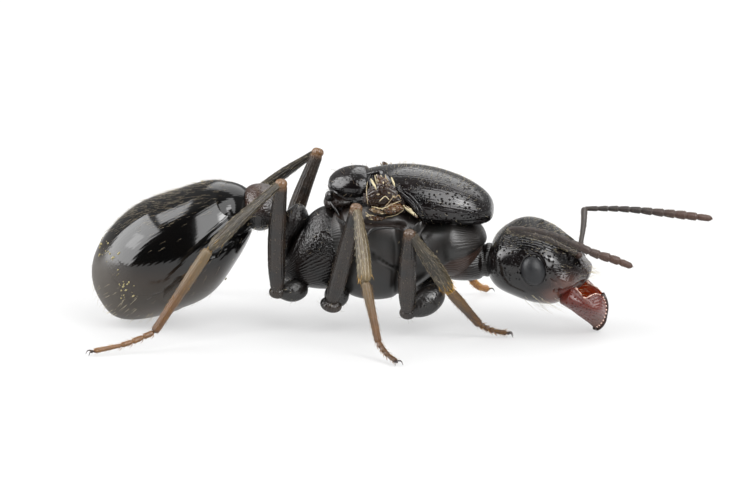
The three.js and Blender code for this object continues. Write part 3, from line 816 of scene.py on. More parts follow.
def add_scutum():
    grid = scutum_grid()
    x, _, z = np.moveaxis(grid, -1, 0)
    # Painted shade: the mask "crevice" cuts the shine on the scutum's front lower side, dimming its
    # reflection there.
    masks = {"pitted": 0.4 + 0.6 * ramp(3.9 - z, 0, 0.4), "striate": 0.5,
             "crevice": 0.7 * ramp(2.15 - x, 0, 0.7) * ramp(3.8 - z, 0, 0.2)}
    ridges = [strip(laid(grid, path, way), [0.02, 0.03, 0.03, 0.015])
              for path in SCUTUM_RIDGES for way in SIDES.values()]
    add_piece("mesoscutum_shell", BLACK, "cuticle", (grid, masks), *ridges, replaces=["mesoscutum"])
    return grid


def add_scutellum():
    grid = pod([[-0.5, 0, 3.52], [0.15, 0, 3.54], [0.78, 0, 3.5]],
               width=[0.62, 0.72, 0.8], rise=[0.42, 0.47, 0.5], drop=[0.3, 0.34, 0.34], blunt=0.75)
    grid = push(grid, -0.05 * line(grid, [[0.5, 4.0], [0.62, 3.5], [0.66, 3.2]], 0.05))
    add_piece("scutellum_shell", BLACK, "cuticle", (grid, {"pitted": 0.3, "striate": 0.3}),
              replaces=["scutellum"])
    return grid


def add_metanotum():
    """The narrow plate behind the scutellum, with the scutellum's rim, and on each side a lump, a fold
    and a row of small ribs."""
    grid = pod([[-0.6, 0, 3.08], [-0.3, 0, 3.18], [0.3, 0, 3.22]],
               width=[0.6, 0.66, 0.7], rise=[0.17, 0.2, 0.2], blunt=0.7, rows=40, columns=60)
    rim = SCUTELLUM_RIM + [[x, -y, z] for x, y, z in SCUTELLUM_RIM[-2::-1]]
    details = [limb(rim, [0.03] * 3, rows=90, columns=10)]
    for way in SIDES.values():
        lump = pod([mirrored((-0.5, 0.52, 3.36), way), mirrored((-0.36, 0.62, 3.36), way)],
                   [0.12] * 2, [0.13] * 2, rows=24, columns=32)
        details.append((lump, {"grainy": 0.3}))
        details.append(strip([mirrored(p, way) for p in METANOTUM_FOLD], [0.03, 0.03, 0.02]))
        for step in np.linspace(0, 0.22, METANOTUM_RIBS):
            rib = [mirrored(np.add(p, (step, 0.02, -step * 0.5)), way) for p in METANOTUM_RIB]
            details.append(strip(rib, [0.012, 0.018, 0.012]))
    add_piece("metanotum_shell", RUGOSE, "cuticle", (grid, {"grainy": 0.5, "striate": 0.4, "amber": 0.1}),
              *details, replaces=["metanotum"])
    return grid


def add_pronotum():
    """The collar in front. It is cut back along its rear edge, and below a line it sinks by 0.09 mm and
    turns striate and brown."""
    grid = pod([[1.5, 0, 2.45], [2.5, 0, 2.1], [3.36, 0, 2.2]],
               width=[1.0, 1.14, 0.95], rise=[0.6, 0.8, 0.7], drop=[0.55, 0.82, 0.6], blunt=0.8,
               side_blunt=0.55, square=2.6, rows=100, columns=120)
    x, _, z = np.moveaxis(grid, -1, 0)
    edge = np.interp(z, [1.2, 1.33, 1.42, 1.88, 2.3, 2.72], [2.7, 2.56, 2.36, 2.12, 1.88, 1.7])
    below = ramp(np.interp(x, *zip(*PRONOTUM_EDGE)) - z, -0.02, 0.06)
    rugae = 0.8 * ramp(x, 2.5, 2.9) * ramp(z, 2.0, 2.3) + below
    grid = push(grid, -0.25 * ramp(edge - x, -0.02, 0.1) - 0.09 * below)
    details = [strip(laid(grid, PRONOTUM_RIM, way), [0.015, 0.028, 0.015]) for way in SIDES.values()]
    for way in SIDES.values():
        corner = pod([mirrored(p, way) for p in ((1.86, 1.06, 2.88), (1.78, 1.08, 2.74), (1.7, 1.05, 2.56))],
                     [0.06] * 3, [0.05, 0.1, 0.09], rows=24, columns=32)
        details.append((corner, {"grainy": 0.8}))
    add_piece("pronotum_shell", SATIN, "cuticle", (grid, {"striate": rugae, "amber": 0.3 * below}),
              *details, replaces=["pronotum"])
    return grid


def add_mesothorax():
    """The side and underside of the thorax, with a groove along each seam, whose shine is cut as painted
    shade.
    """
    grid = pod([[-0.75, 0, 2.0], [0.7, 0, 2.05], [2.5, 0, 2.2]],
               width=[0.95, 1.14, 1.12, 0.9], rise=[1.1, 1.25, 1.3, 1.0], drop=[1.15, 1.3, 1.25, 0.9],
               blunt=0.8, square=2.6, rows=130, columns=160)
    crevice = 0
    for path, width in PLEURON_SEAMS:
        groove = line(grid, path, width)
        crevice = np.maximum(crevice, groove)
        grid = push(grid, -0.07 * groove)
    x, _, z = np.moveaxis(grid, -1, 0)
    masks = {"grainy": 0.7 * ramp(z, 2.6, 2.75), "striate": 0.6 * ramp(0.1 - x, 0, 0.3),
             "crevice": crevice, "amber": 0.1 * ramp(z, 2.5, 2.7)}
    ridges = [strip(laid(grid, PLEURON_RIDGE, way), [0.02, 0.045, 0.03, 0.015]) for way in SIDES.values()]
    add_piece("mesothorax_shell", SATIN, "cuticle", (grid, masks), *ridges, replaces=["mesothorax"])
    return grid


def add_propodeum():
    """The rear of the thorax, grainy above and striate below, with a breathing hole on each side."""
    grid = pod([[-1.66, 0, 1.25], [-0.63, 0, 1.72], [0.4, 0, 2.2]],
               width=[0.62, 0.84, 0.92, 0.95], rise=[0.35, 0.7, 1.03, 1.28, 1.45],
               drop=[0.36, 0.7, 0.92, 1.0], blunt=0.8, rows=100, columns=120)
    for way in SIDES.values():
        spiracle = (-0.5, way * 0.88, 2.42)
        grid = push(grid, 0.05 * bump(grid, spiracle, (0.13, 0.4, 0.11))
                    - 0.12 * bump(grid, spiracle, (0.07, 0.4, 0.04)))
        grid = push(grid, 0.06 * bump(grid, (-0.95, way * 0.7, 1.25), (0.35, 0.4, 0.2)))
    low = ramp(2.1 - grid[..., 2], 0, 0.4)
    edges = [strip(laid(grid, [[-1.06, 2.5], [-1.18, 2.22], [-1.33, 1.88]], way), [0.02, 0.035, 0.02])
             for way in SIDES.values()]
    add_piece("propodeum_shell", RUGOSE, "cuticle",
              (grid, {"grainy": 1 - 0.8 * low, "striate": 0.2 + 0.8 * low}), *edges,
              replaces=["propodeum"])
    return grid


def add_neck():
    grid = pod([[2.1, 0, 1.62], [3.0, 0, 1.7], [3.95, 0, 1.84]], width=[0.8, 0.74, 0.42],
               rise=[0.42, 0.44, 0.36], drop=[0.42, 0.46, 0.4], blunt=0.5, rows=60, columns=80)
    grid = push(grid, -0.05 * line(grid, [[3.3, 2.2], [3.32, 1.3]], 0.05))
    masks = {"striate": 0.8, "amber": 0.25 * ramp(3.1 - grid[..., 0], 0, 0.4)}
    add_piece("neck_shell", RUGOSE, "cuticle", (grid, masks), replaces=["neck"])


def add_mesosoma():
    surfaces = {"scutum": add_scutum(), "scutellum": add_scutellum(), "metanotum": add_metanotum(),
                "pronotum": add_pronotum(), "pleuron": add_mesothorax(), "propodeum": add_propodeum()}
    add_neck()
    return surfaces


# Each lump of a torn wing root on the left side: its spine, its half width, its half height, and how
# golden and how cream it is. The cream is partly the root's own pale colour and partly painted
# highlights; on the sixth lump, the ridge along the tegula, it is a painted glint.
SCAR_LUMPS = [
    ([[0.42, 0.84, 3.35], [0.95, 0.86, 3.4], [1.52, 0.86, 3.12]], 0.18, [0.22, 0.4, 0.2], 0.05, 0.0),
    ([[0.92, 1.04, 3.12], [1.15, 1.1, 3.18], [1.42, 1.04, 3.22]], 0.09, [0.1, 0.13, 0.1], 0.5, 0.0),
    ([[0.6, 1.02, 3.14], [0.78, 1.08, 3.12], [0.96, 1.04, 3.09]], 0.07, [0.05, 0.07, 0.05], 0.5, 0.12),
    ([[0.76, 0.78, 3.95], [0.87, 0.9, 3.74], [0.85, 0.98, 3.54]], 0.08, [0.06, 0.1, 0.06], 0.2, 0.0),
    ([[0.92, 0.82, 3.9], [1.0, 0.93, 3.74], [1.06, 1.0, 3.55]], 0.05, [0.04, 0.06, 0.04], 0.3, 0.0),
    ([[1.4, 1.02, 3.26], [1.57, 1.1, 3.15], [1.77, 1.12, 2.98]], 0.04, [0.025, 0.05, 0.025], 0.1, 0.9),
    ([[0.5, 0.98, 2.98], [0.72, 1.04, 2.92], [0.98, 1.02, 2.93]], 0.05, [0.03, 0.06, 0.03], 0.25, 0.0),
]
# The thin torn veins that lie on them, in side view, X and Z, each with its half thickness and its cream,
# which is partly their own pale colour and partly painted highlight.
SCAR_VEINS = [
    ([[0.6, 3.86], [0.72, 3.69], [0.79, 3.58]], 0.04, 0.9),
    ([[0.7, 3.94], [0.75, 3.8], [0.83, 3.64]], 0.022, 0.6),
    ([[0.84, 3.95], [0.9, 3.84], [0.95, 3.7]], 0.022, 0.4),
    ([[0.95, 3.95], [0.99, 3.86], [1.09, 3.74]], 0.02, 0.4),
    ([[1.1, 3.9], [1.17, 3.76], [1.2, 3.58]], 0.03, 0.9),
    ([[0.53, 3.8], [0.52, 3.57], [0.56, 3.29]], 0.012, 0.4),
    ([[0.83, 3.35], [0.97, 3.47], [1.09, 3.39]], 0.016, 0.6),
    ([[0.64, 3.24], [0.91, 3.2], [1.16, 3.3], [1.38, 3.39]], 0.016, 0.5),
    ([[0.97, 3.05], [1.16, 3.19], [1.32, 3.28]], 0.014, 0.45),
    ([[0.97, 2.96], [1.24, 3.03], [1.44, 3.17]], 0.013, 0.5),
    ([[0.98, 3.24], [1.12, 3.4], [1.2, 3.52]], 0.013, 0.3),
    ([[1.2, 3.44], [1.3, 3.5], [1.36, 3.42]], 0.02, 0.2),
    ([[0.5, 3.1], [0.58, 3.02], [0.7, 3.0]], 0.014, 0.5),
]


def add_wing_scars():
    crumbs = np.random.default_rng(11)
    for hand, way in SIDES.items():
        parts = []
        for spine, width, height, gold, cream in SCAR_LUMPS:
            part = pod([mirrored(p, way) for p in spine], [width] * 3, height, side=(0.3, 1, 0.1),
                       blunt=0.7, rows=36, columns=32)
            x, _, z = np.moveaxis(part, -1, 0)
            part = push(part, 0.12 * min(height) * np.sin(x * 62 + z * 25))
            parts.append((part, {"amber": gold, "dust": cream}))
            for spot, _, along, _ in zip(*scatter(part, 22, crumbs)):
                # Each crumb's share glow sets its gold and its cream; the cream partly stands for painted
                # glints.
                size, glow = crumbs.uniform(0.01, 0.028), crumbs.random()
                crumb = pod([spot - along * size * 2, spot + along * size * 2], [size] * 2, [size] * 2,
                            rows=6, columns=8)
                parts.append((crumb, {"amber": 0.6 * glow, "dust": max(0, 1.8 * glow - 0.9)}))
        for path, thick, cream in SCAR_VEINS:
            out = [1.17 - 0.55 * abs(z - 3.2) ** 1.2 for _, z in path]
            vein = strip([mirrored((x, y, z), way) for (x, z), y in zip(path, out)],
                         [0.5 * thick, 0.85 * thick, 0.4 * thick])
            parts.append((vein, {"amber": 0.8, "dust": min(1, 1.2 * cream)}))
        add_piece(f"wing_scar_{hand}_parts", SCAR, "wing_scar", *parts, replaces=[f"wing_scar_{hand}"])


# ---- waist and gaster ----

def add_waist():
    rear = pod([[-2.6, 0, 2.9], [-2.12, 0, 2.91], [-1.6, 0, 2.88]],
               width=[0.66, 0.72, 0.6], rise=[0.64, 0.6, 0.54], drop=[0.5, 0.54, 0.4], blunt=0.5)
    x, _, z = np.moveaxis(rear, -1, 0)
    # Warmer on top: partly its own brown, partly a painted sheen. The mask "crevice" cuts the shine
    # underneath: painted shade.
    masks = {"grainy": 0.9, "amber": 0.42 * ramp(-x, 1.7, 2.3) * ramp(z, 2.7, 3.2),
             "crevice": 0.5 * ramp(2.9 - z, 0, 0.4)}
    add_piece("postpetiole_shell", RUGOSE, "cuticle", (rear, masks), replaces=["postpetiole"])
    node = pod([[-1.2, 0, 3.02], [-1.3, 0, 2.65], [-1.53, 0, 2.2], [-1.52, 0, 1.6]],
               width=[0.46, 0.52, 0.4, 0.32, 0.32], rise=[0.2, 0.32, 0.27, 0.18, 0.2], blunt=0.6)
    # The mask "crevice" halves the node's shine all over: painted shade.
    add_piece("petiole_shell", RUGOSE, "cuticle", (node, {"grainy": 1.0, "crevice": 0.5}),
              replaces=["petiole"])
    return {"postpetiole": rear, "petiole": node}


GASTER_TIP, GASTER_FRONT = np.array([-5.95, 0, 0.35]), np.array([-2.45, 0, 3.15])
SEAM_POINT, SEAM_TURN = np.array([-2.75, 0, 2.22]), 0.64


def gaster_grid(inset=0.0, rows=110, columns=140):
    grid = pod([GASTER_TIP, [-4.2, 0, 1.75], GASTER_FRONT], width=[1.35, 1.55, 1.58, 1.45, 1.25],
               rise=[1.72, 1.65, 1.56, 1.35, 1.4], drop=[0.93, 1.12, 1.3, 1.15, 1.03], blunt=0.8,
               rows=rows, columns=columns)
    return push(grid, -inset) if inset else grid


def behind(grid, edge):
    """How far a point of the gaster is behind a plate's rear edge, which is edge mm from its tip."""
    axis = unit(GASTER_FRONT - GASTER_TIP)
    return edge - (grid - GASTER_TIP) @ axis


def add_gaster():
    normal = np.array([-math.sin(SEAM_TURN), 0, math.cos(SEAM_TURN)])

    def beneath(grid):
        """How far a point is below the wavy lower edge of the first back plate."""
        x = grid[..., 0]
        bow = 0.12 * np.sin(np.clip((x + 5.4) / 2.9, 0, 1) * np.pi)
        waves = 0.025 * np.sin(x * 9) + 0.015 * np.sin(x * 23)
        return bow + waves - (grid - SEAM_POINT) @ normal

    def dust(grid):
        z = grid[..., 2]
        return {"dust": np.maximum(0.85 * ramp(behind(grid, 1.6), 0, 1.3), 0.5 * ramp(1.7 - z, 0, 0.9)),
                "amber": 0.3 * ramp(0.8 - z, 0, 0.4) + 0.15 * ramp(1.9 - z, 0, 0.6)}

    first = gaster_grid()
    # Painted shade: the collar's groove loses its shine through the mask "crevice".
    collar = line(first, [[-2.9, 3.64], [-2.63, 3.38], [-2.44, 3.12], [-2.36, 2.8]], 0.045)
    hidden = np.maximum(ramp(beneath(first), -0.02, 0.03), 0.4 * ramp(behind(first, 1.2), -0.1, 0.5))
    # Painted shade: the steep front face loses part of its shine.
    front = pod([[-3.5, 0, 2.6], [-2.9, 0, 2.8], [-2.3, 0, 2.94]], width=[1.15, 0.95, 0.6],
                rise=[0.95, 0.78, 0.6], drop=[0.9, 0.75, 0.55], blunt=0.5)
    add_piece("gaster_first_tergite_shell", GASTER, "cuticle",
              (push(first, -0.16 * hidden - 0.06 * collar), {"crevice": collar, **dust(first)}),
              (front, {"crevice": 0.45}),
              replaces=["gaster_first_tergite"])
    second = gaster_grid(0.03)
    # Painted shade: the groove along the seam loses its shine.
    groove = np.exp(-((beneath(second) - 0.04) / 0.05) ** 2)
    hidden = np.maximum(ramp(behind(second, 1.2), -0.03, 0.3), ramp(-beneath(second), 0.1, 0.3))
    add_piece("gaster_first_sternite_shell", GASTER, "cuticle",
              (push(second, -0.13 * hidden - 0.07 * groove), {"crevice": groove, **dust(second)}),
              replaces=["gaster_first_sternite"])
    bands = (("gaster_third_ring", 0.72, 1.2), ("gaster_fourth_ring", 0.34, 0.72), ("gaster_tip", -1, 0.34))
    for name, rear, front in bands:
        ring = gaster_grid(0.003, rows=100, columns=140)
        hidden = np.maximum(0.6 * ramp(behind(ring, rear), -0.1, 0.5), ramp(-behind(ring, front), 0.16, 0.6))
        add_piece(f"{name}_shell", GASTER, "cuticle", (push(ring, -0.1 * hidden), dust(ring)),
                  replaces=[name])
    return first


def add_grains(gaster, rng):
    """Grains of sand stuck near the gaster's tip, as small lumps that lie on its surface."""
    spots = line(gaster, [[-5.92, 1.95], [-5.55, 1.62], [-5.4, 1.25], [-5.48, 0.95]], 0.22)
    lumps = []
    for spot, _, along, _ in zip(*scatter(gaster, 95, rng, spots + 0.004)):
        size, stretch = rng.uniform(0.007, 0.026), rng.uniform(0.8, 2.4)
        lumps.append(pod([spot - along * size * stretch, spot + along * size * stretch], [size] * 2,
                         [size] * 2, rows=6, columns=8))
    add_piece("sand_grains", GRAIN, "cuticle", *lumps)


# ---- legs ----

# What the two legs of a pair share, with the joints given for the left one. coxa and socket are half
# thicknesses in millimetres, stout and calf thicken the first foot joint and the shin, and brush is the
# number of golden hairs that end the shin. warm, tan and olive are shares of colour, at the knee, on the
# shin and on the first foot joint.
# The shin's tan and the first foot joint's warm colour are strongest on the side towards the lamps: painted
# light.
PAIRS = {
    "front": dict(hip=(2.3, 0.5, 1.08), trochanter=(1.52, 1.05, 0.6), coxa=0.33, socket=0.17,
                  stout=1.35, calf=1.2, brush=90, warm=0.25, tan=0.03, olive=0.3),
    "mid": dict(hip=(-0.15, 0.45, 1.15), trochanter=(-0.35, 0.94, 0.74), coxa=0.3, socket=0.24,
                stout=1.15, calf=1.1, brush=10, warm=0.5, tan=0.2, olive=0.6),
    "hind": dict(hip=(-1.0, 0.45, 1.08), trochanter=(-1.68, 0.82, 1.0), coxa=0.27, socket=0.17,
                 stout=1.4, calf=1.0, brush=10, warm=0.7, tan=0.03, olive=0.7),
}
# Each leg's own joints below the trochanter, and how far its thigh bows along X. shade dulls a leg that
# stands in the body's shadow, light is how see-through its foot is, and sole thickens the foot's small
# joints.
LEGS = {
    "front_right": dict(knee=(1.66, -2.2, 2.8), shin=(2.62, -1.85, 1.32), heel=(3.27, -1.0, 0.33),
                        toe=(3.93, -0.98, 0.13), bow=-0.03, shade=0, light=0.1, sole=1.0),
    "front_left": dict(knee=(1.38, 2.3, 2.95), shin=(2.2, 3.0, 1.75), heel=(2.76, 3.6, 0.42),
                       toe=(3.12, 4.0, 0.12), bow=-0.03, shade=0.3, light=1.0, sole=1.4),
    "mid_right": dict(knee=(0.36, -1.95, 3.36), shin=(0.68, -3.0, 1.73), heel=(1.02, -3.42, 0.37),
                      toe=(1.5, -4.15, 0.12), bow=0.02, shade=0, light=0.1, sole=1.0),
    "mid_left": dict(knee=(0.36, 1.95, 3.2), shin=(0.62, 3.0, 1.7), heel=(0.95, 3.42, 0.37),
                     toe=(1.4, 4.05, 0.12), bow=0.02, shade=0.3, light=0.1, sole=1.0),
    "hind_right": dict(knee=(-1.48, -1.7, 3.88), shin=(-3.13, -2.75, 2.42), heel=(-4.44, -3.0, 0.42),
                       toe=(-5.8, -3.75, 0.12), bow=-0.06, shade=0, light=0.35, sole=1.0),
    "hind_left": dict(knee=(-0.94, 1.85, 3.97), shin=(-2.78, 3.05, 2.52), heel=(-4.2, 3.5, 0.42),
                      toe=(-5.25, 3.88, 0.12), bow=-0.15, shade=0.75, light=0.35, sole=1.0),
}
FOOT_JOINTS = [0, 0.2, 0.4, 0.58, 1.0]      # ends of the four small foot joints, as shares of their length
DOWN = np.array([0, 0, -1.0])
# Painted light: the side of a limb that faces this way, towards the lamps, is painted paler brown.
LIT_WAY = unit(np.array([0.5, -0.3, 0.6]))     # the side of a limb that is paler brown
LEAST_REACH = 0.03                          # no spine or claw reaches nearer to the floor


def lerp(a, b, t):
    return np.array(a, float) * (1 - t) + np.array(b, float) * t


def spike(path, thick, rows=12, columns=8):
    """A spine or claw that tapers to a point along a path, as 1 - t to the power 0.7."""
    t = np.linspace(0, 1, rows + 1)
    r = thick * np.clip(1 - t, 0, 1) ** 0.7 * np.sqrt(np.clip(t / 0.08, 0, 1))
    side = unit(np.cross(np.subtract(path[-1], path[0]), (0.3, 1, 0.4)))
    return tube(path, t, r, r, side=side, columns=columns)


def leg_shape(name):
    """One leg's values: its pair's and its own, with every joint as an array."""
    pair, hand = name.split("_")
    leg = {**PAIRS[pair], **LEGS[name]}
    for joint in ("hip", "trochanter"):
        leg[joint] = mirrored(leg[joint], SIDES[hand])
    for joint in ("knee", "shin", "heel", "toe"):
        leg[joint] = np.array(leg[joint], float)
    return leg


def add_coxa(name, leg):
    hip, trochanter, thick = leg["hip"], leg["trochanter"], leg["coxa"]
    coxa = pod([hip, lerp(hip, trochanter, 0.5) + DOWN * 0.04, trochanter],
               [thick * 0.9, thick, thick * 0.7], [thick, thick, thick * 0.62],
               side=unit(np.cross(trochanter - hip, (0, 0, 1))), blunt=0.55, rows=48, columns=56)
    add_piece(f"coxa_{name}_shell", COXA, "cuticle", coxa, replaces=[f"coxa_{name}"])
    return coxa


def add_femur(name, leg):
    """The thigh, with the small trochanter joint at its foot and the knee's cap."""
    trochanter, knee, rod = leg["trochanter"], leg["knee"], unit(leg["knee"] - leg["trochanter"])
    mid = lerp(trochanter, knee, 0.5) + (leg["bow"], 0, 0)
    femur = limb([trochanter - rod * 0.02, mid, knee], [0.14, 0.205, 0.215, 0.21, 0.18, 0.15], rows=64,
                 columns=28, flat=0.86)
    joint = pod([trochanter - rod * 0.16 + (0, 0, 0.02), trochanter + rod * 0.14], [leg["socket"]] * 2,
                [leg["socket"] + 0.03] * 2, blunt=0.7, rows=24, columns=32)
    along = ((femur - trochanter) @ rod) / np.linalg.norm(knee - trochanter)
    cap = pod([knee - rod * 0.12, knee + rod * 0.1], [0.135] * 2, [0.15] * 2, blunt=0.7, rows=20, columns=28)
    glow = 0.8 * leg["warm"]
    # The mask "crevice" takes the leg's shade: a painted shadow that cuts the shine.
    add_piece(f"femur_{name}_shell", FEMUR, "leg_cuticle",
              (femur, {"amber": glow * ramp(along, 0.93, 1.0), "crevice": leg["shade"]}),
              joint, (cap, {"amber": glow}), replaces=[f"femur_{name}"])
    return femur, joint


def add_tibia(name, leg):
    """The shin and its spur. Also returns how far down the shin each point is, as a share."""
    knee, shin = leg["knee"], leg["shin"]
    rod, reach, foot_way = unit(knee - leg["trochanter"]), unit(shin - knee), unit(leg["heel"] - shin)
    tibia = limb([knee + (0, 0, 0.03), lerp(knee, shin, 0.5) + rod * 0.06, shin],
                 leg["calf"] * np.array([0.095, 0.105, 0.135, 0.155, 0.155, 0.125]), rows=64, columns=28,
                 flat=0.9, cap=0.1)
    share = ((tibia - knee) @ reach) / np.linalg.norm(shin - knee)
    inner = unit(np.cross(foot_way, np.cross(reach, foot_way)) + DOWN * 0.2)
    spur = spike([shin - reach * 0.08, shin + foot_way * 0.16 + inner * 0.1,
                  shin + foot_way * 0.36 + inner * 0.07], 0.035)
    # Painted light: the tan is stronger on the side of the shin that faces the lamps.
    lit_side = ramp(normals(tibia) @ LIT_WAY, -0.3, 0.7)
    warm = (leg["tan"] * (0.15 + 1.4 * lit_side) + 0.7 * leg["warm"] * ramp(0.08 - share, 0, 0.1)
            + (0.08 + leg["tan"]) * ramp(share, 0.6, 1.0))
    # The mask "crevice" takes the leg's shade: a painted shadow that cuts the shine.
    add_piece(f"tibia_{name}_shell", SHIN, "leg_cuticle",
              (tibia, {"amber": np.clip(warm, 0, 1), "crevice": leg["shade"]}), (spur, {"amber": 0.8}),
              replaces=[f"tibia_{name}"])
    return tibia, share


def foot_spines(starts, forward, across):
    """Two short spines at each start, one to either side."""
    return [spike([start + DOWN * 0.04 + across * way * 0.03,
                   start + DOWN * 0.09 + forward * 0.04 + across * way * 0.05,
                   start + DOWN * min(0.13, start[2] - LEAST_REACH) + forward * 0.09 + across * way * 0.06],
                  0.012, rows=6, columns=5)
            for start in starts for way in SIDES.values()]


def foot_claws(toe, forward, across):
    """Two claws, curved down, and the pad between them."""
    claws = [spike([toe - forward * 0.02 + out * 0.02, toe + forward * 0.1 + out * 0.08 + (0, 0, 0.01),
                    toe + forward * 0.16 + out * 0.11 + DOWN * (toe[2] - LEAST_REACH)], 0.024)
             for out in (across * way for way in SIDES.values())]
    pad = pod([toe, toe + forward * 0.07 + DOWN * 0.03], [0.035] * 2, [0.025] * 2, rows=12, columns=16)
    return [*claws, pad]


def add_tarsus(name, leg):
    """The foot: one long joint, four small ones, spines at their ends, and the claws."""
    shin, heel, toe = leg["shin"], leg["heel"], leg["toe"]
    foot_way = unit(heel - shin)
    basal = chain([shin - foot_way * 0.05, lerp(shin, heel, 0.5), heel],
                  leg["stout"] * np.array([0.115, 0.112, 0.095, 0.082, 0.078]), [0, 1], 0.85, rows=40)
    down_foot = ((basal - shin) @ foot_way) / np.linalg.norm(heel - shin)
    sag = lerp(heel, toe, 0.45)
    sag[2] = heel[2] * 0.35 + toe[2] * 0.65
    rest = chain([heel - foot_way * 0.03, sag, toe],
                 leg["sole"] * np.array([0.075, 0.072, 0.068, 0.06, 0.065]), FOOT_JOINTS, 0.6, rows=80)
    forward = unit((toe - heel) * (1, 1, 0))
    across = np.array([-forward[1], forward[0], 0])
    starts = [heel, *spline([heel, sag, toe], np.array(FOOT_JOINTS[1:-1]))]
    # Painted light: the warm colour is stronger on the side of the joint that faces the lamps.
    lit_side = ramp(normals(basal) @ LIT_WAY, -0.2, 0.6)
    masks = {"amber": 0.5 * leg["warm"] * (0.3 + 0.6 * lit_side),
             "dust": leg["olive"] * ramp(0.8 - down_foot, 0, 0.7)}
    add_piece(f"tarsus_{name}_shell", FOOT, "foot", (basal, masks), (rest, {"amber": leg["light"]}),
              *((spine, {"amber": 1.0}) for spine in foot_spines(starts, forward, across)),
              replaces=[f"tarsus_{name}"])
    add_piece(f"claws_{name}", CLAW, "foot", *foot_claws(toe, forward, across))
    return basal, rest


def add_leg(name, rng):
    leg = leg_shape(name)
    coxa = add_coxa(name, leg)
    femur, joint = add_femur(name, leg)
    tibia, share = add_tibia(name, leg)
    basal, rest = add_tarsus(name, leg)

    coat = Coat(f"setae_leg_{name}", rng)
    coat.grow(coxa, 30, 0.12, 0.6, thick=0.0035, pale=0.5)
    coat.grow(femur, 110, 0.09, 2.6, thick=0.003, pale=0.3, spread=0.3)
    coat.grow(joint, 12, 0.12, 1.2, thick=0.0035, pale=0.4)
    coat.grow(tibia, 300, 0.12, 3.6, thick=0.0038, pale=0.38 + 1.7 * leg["tan"], spread=0.18,
              weight=1 - 0.85 * ramp(share, 0.84, 0.95))
    coat.build(SETA)

    gold = Coat(f"setae_foot_{name}", rng)
    gold.grow(tibia, leg["brush"], 0.17, 1.8, thick=0.005, pale=0.85,
              weight=ramp(share, 0.78, 0.95) * (1 - ramp(share, 1.0, 1.02)))
    gold.grow(basal, 240, 0.12, 2.4, thick=0.003, pale=0.25, spread=0.3)
    gold.grow(rest, 200, 0.09, 1.5, thick=0.0035, pale=0.25 + 0.5 * leg["light"])
    gold.build(GOLD)


# ---- coats of the body ----

def add_coats(head, body, waist, gaster, rng):
    top = Coat("setae_head", rng)
    x, _, z = np.moveaxis(head, -1, 0)
    top.grow(head, 420, 0.075, 1.6, thick=0.003, weight=ramp(z, 2.05, 2.3), pale=0.7)
    top.grow(head, 70, 0.1, 1.0, thick=0.0035, weight=ramp(z, 1.2, 1.6) * ramp(x, 4.8, 5.2), pale=0.5)
    top.grow(head, 60, 0.36, 0.9, thick=0.0028, curl=0.6, sweep=(0.5, 0, -0.2), spread=0.15,
             weight=ramp(1.25 - z, 0, 0.2) * ramp(x, 4.1, 4.5) * (1 - ramp(x, 5.5, 5.7)), pale=0.9)
    top.grow(head, 16, 0.3, 0.6, thick=0.005, weight=ramp(x, 5.75, 5.85) * ramp(1.8 - z, 0, 0.2), pale=0.9,
             sweep=(0.6, 0, -0.4))
    top.build(SETA)

    middle = Coat("setae_mesosoma", rng)
    x, _, z = np.moveaxis(body["scutum"], -1, 0)
    middle.grow(body["scutum"], 380, 0.12, 0.3, thick=0.0026, pale=0.75,
                weight=ramp(z, 3.2, 3.8) * ramp(x, 0.9, 1.4) + 0.12)
    middle.grow(body["scutellum"], 90, 0.15, -0.5, thick=0.0045, pale=0.15)
    middle.grow(body["pronotum"], 40, 0.1, 0.2, thick=0.004, pale=0.6)
    middle.grow(body["propodeum"], 36, 0.12, -0.4, thick=0.003, curl=0.1, pale=0.6,
                weight=ramp(body["propodeum"][..., 2], 1.9, 2.2))
    middle.grow(body["pleuron"], 60, 0.12, -0.3, thick=0.004, pale=0.6,
                weight=0.15 + ramp(body["pleuron"][..., 2], 2.3, 2.5))
    middle.build(SETA)

    hind = Coat("setae_waist", rng)
    hind.grow(waist["postpetiole"], 120, 0.17, -0.9, thick=0.0035, curl=0.12, pale=0.5)
    hind.grow(waist["petiole"], 50, 0.14, -0.6, thick=0.003, curl=0.1, pale=0.45)
    hind.build(SETA)

    last = Coat("setae_gaster", rng)
    tipward = behind(gaster, 1.2)
    up = normals(gaster)[..., 2]
    last.grow(gaster, 900, 0.19, -3.0, thick=0.0022, curl=0.1, pale=0.35, spread=0.15,
              weight=ramp(up, 0.5, 0.8) + 0.03)
    last.grow(gaster, 50, 0.2, -1.2, thick=0.0045, pale=0.9,
              weight=ramp(tipward, 0.0, 0.5) * ramp(1.1 - gaster[..., 2], 0, 0.3))
    last.grow(gaster, 60, 0.12, -1.6, thick=0.004, pale=0.6, weight=ramp(tipward, -0.1, 0.3))
    last.build(SETA)


# ---- stage, camera and light ----

VIEW_AZIMUTH, VIEW_ELEVATION = 5, 12    # degrees
VIEW_DISTANCE = 0.14
VIEW_WIDTH = 18.29 * MM             # what the picture spans across, at the ant
VIEW_MIDDLE = (0.637, 0, 1.92)


def direction(azimuth, elevation):
    """A unit vector from the ant; azimuth 0 is towards -Y and 90 towards +X."""
    a, e = math.radians(azimuth), math.radians(elevation)
    return Vector((math.sin(a) * math.cos(e), -math.cos(a) * math.cos(e), math.sin(e)))


def add_camera():
    target = Vector(placed(VIEW_MIDDLE))
    back = direction(VIEW_AZIMUTH, VIEW_ELEVATION)
    data = bpy.data.cameras.new("camera")
    data.sensor_width = 36
    data.lens = data.sensor_width * VIEW_DISTANCE / VIEW_WIDTH
    data.clip_start, data.clip_end = 0.01, 10
    camera = bpy.data.objects.new("camera", data)
    camera.location = target + back * VIEW_DISTANCE
    camera.rotation_euler = (-back).to_track_quat("-Z", "Y").to_euler()
    bpy.context.scene.collection.objects.link(camera)
    bpy.context.scene.camera = camera


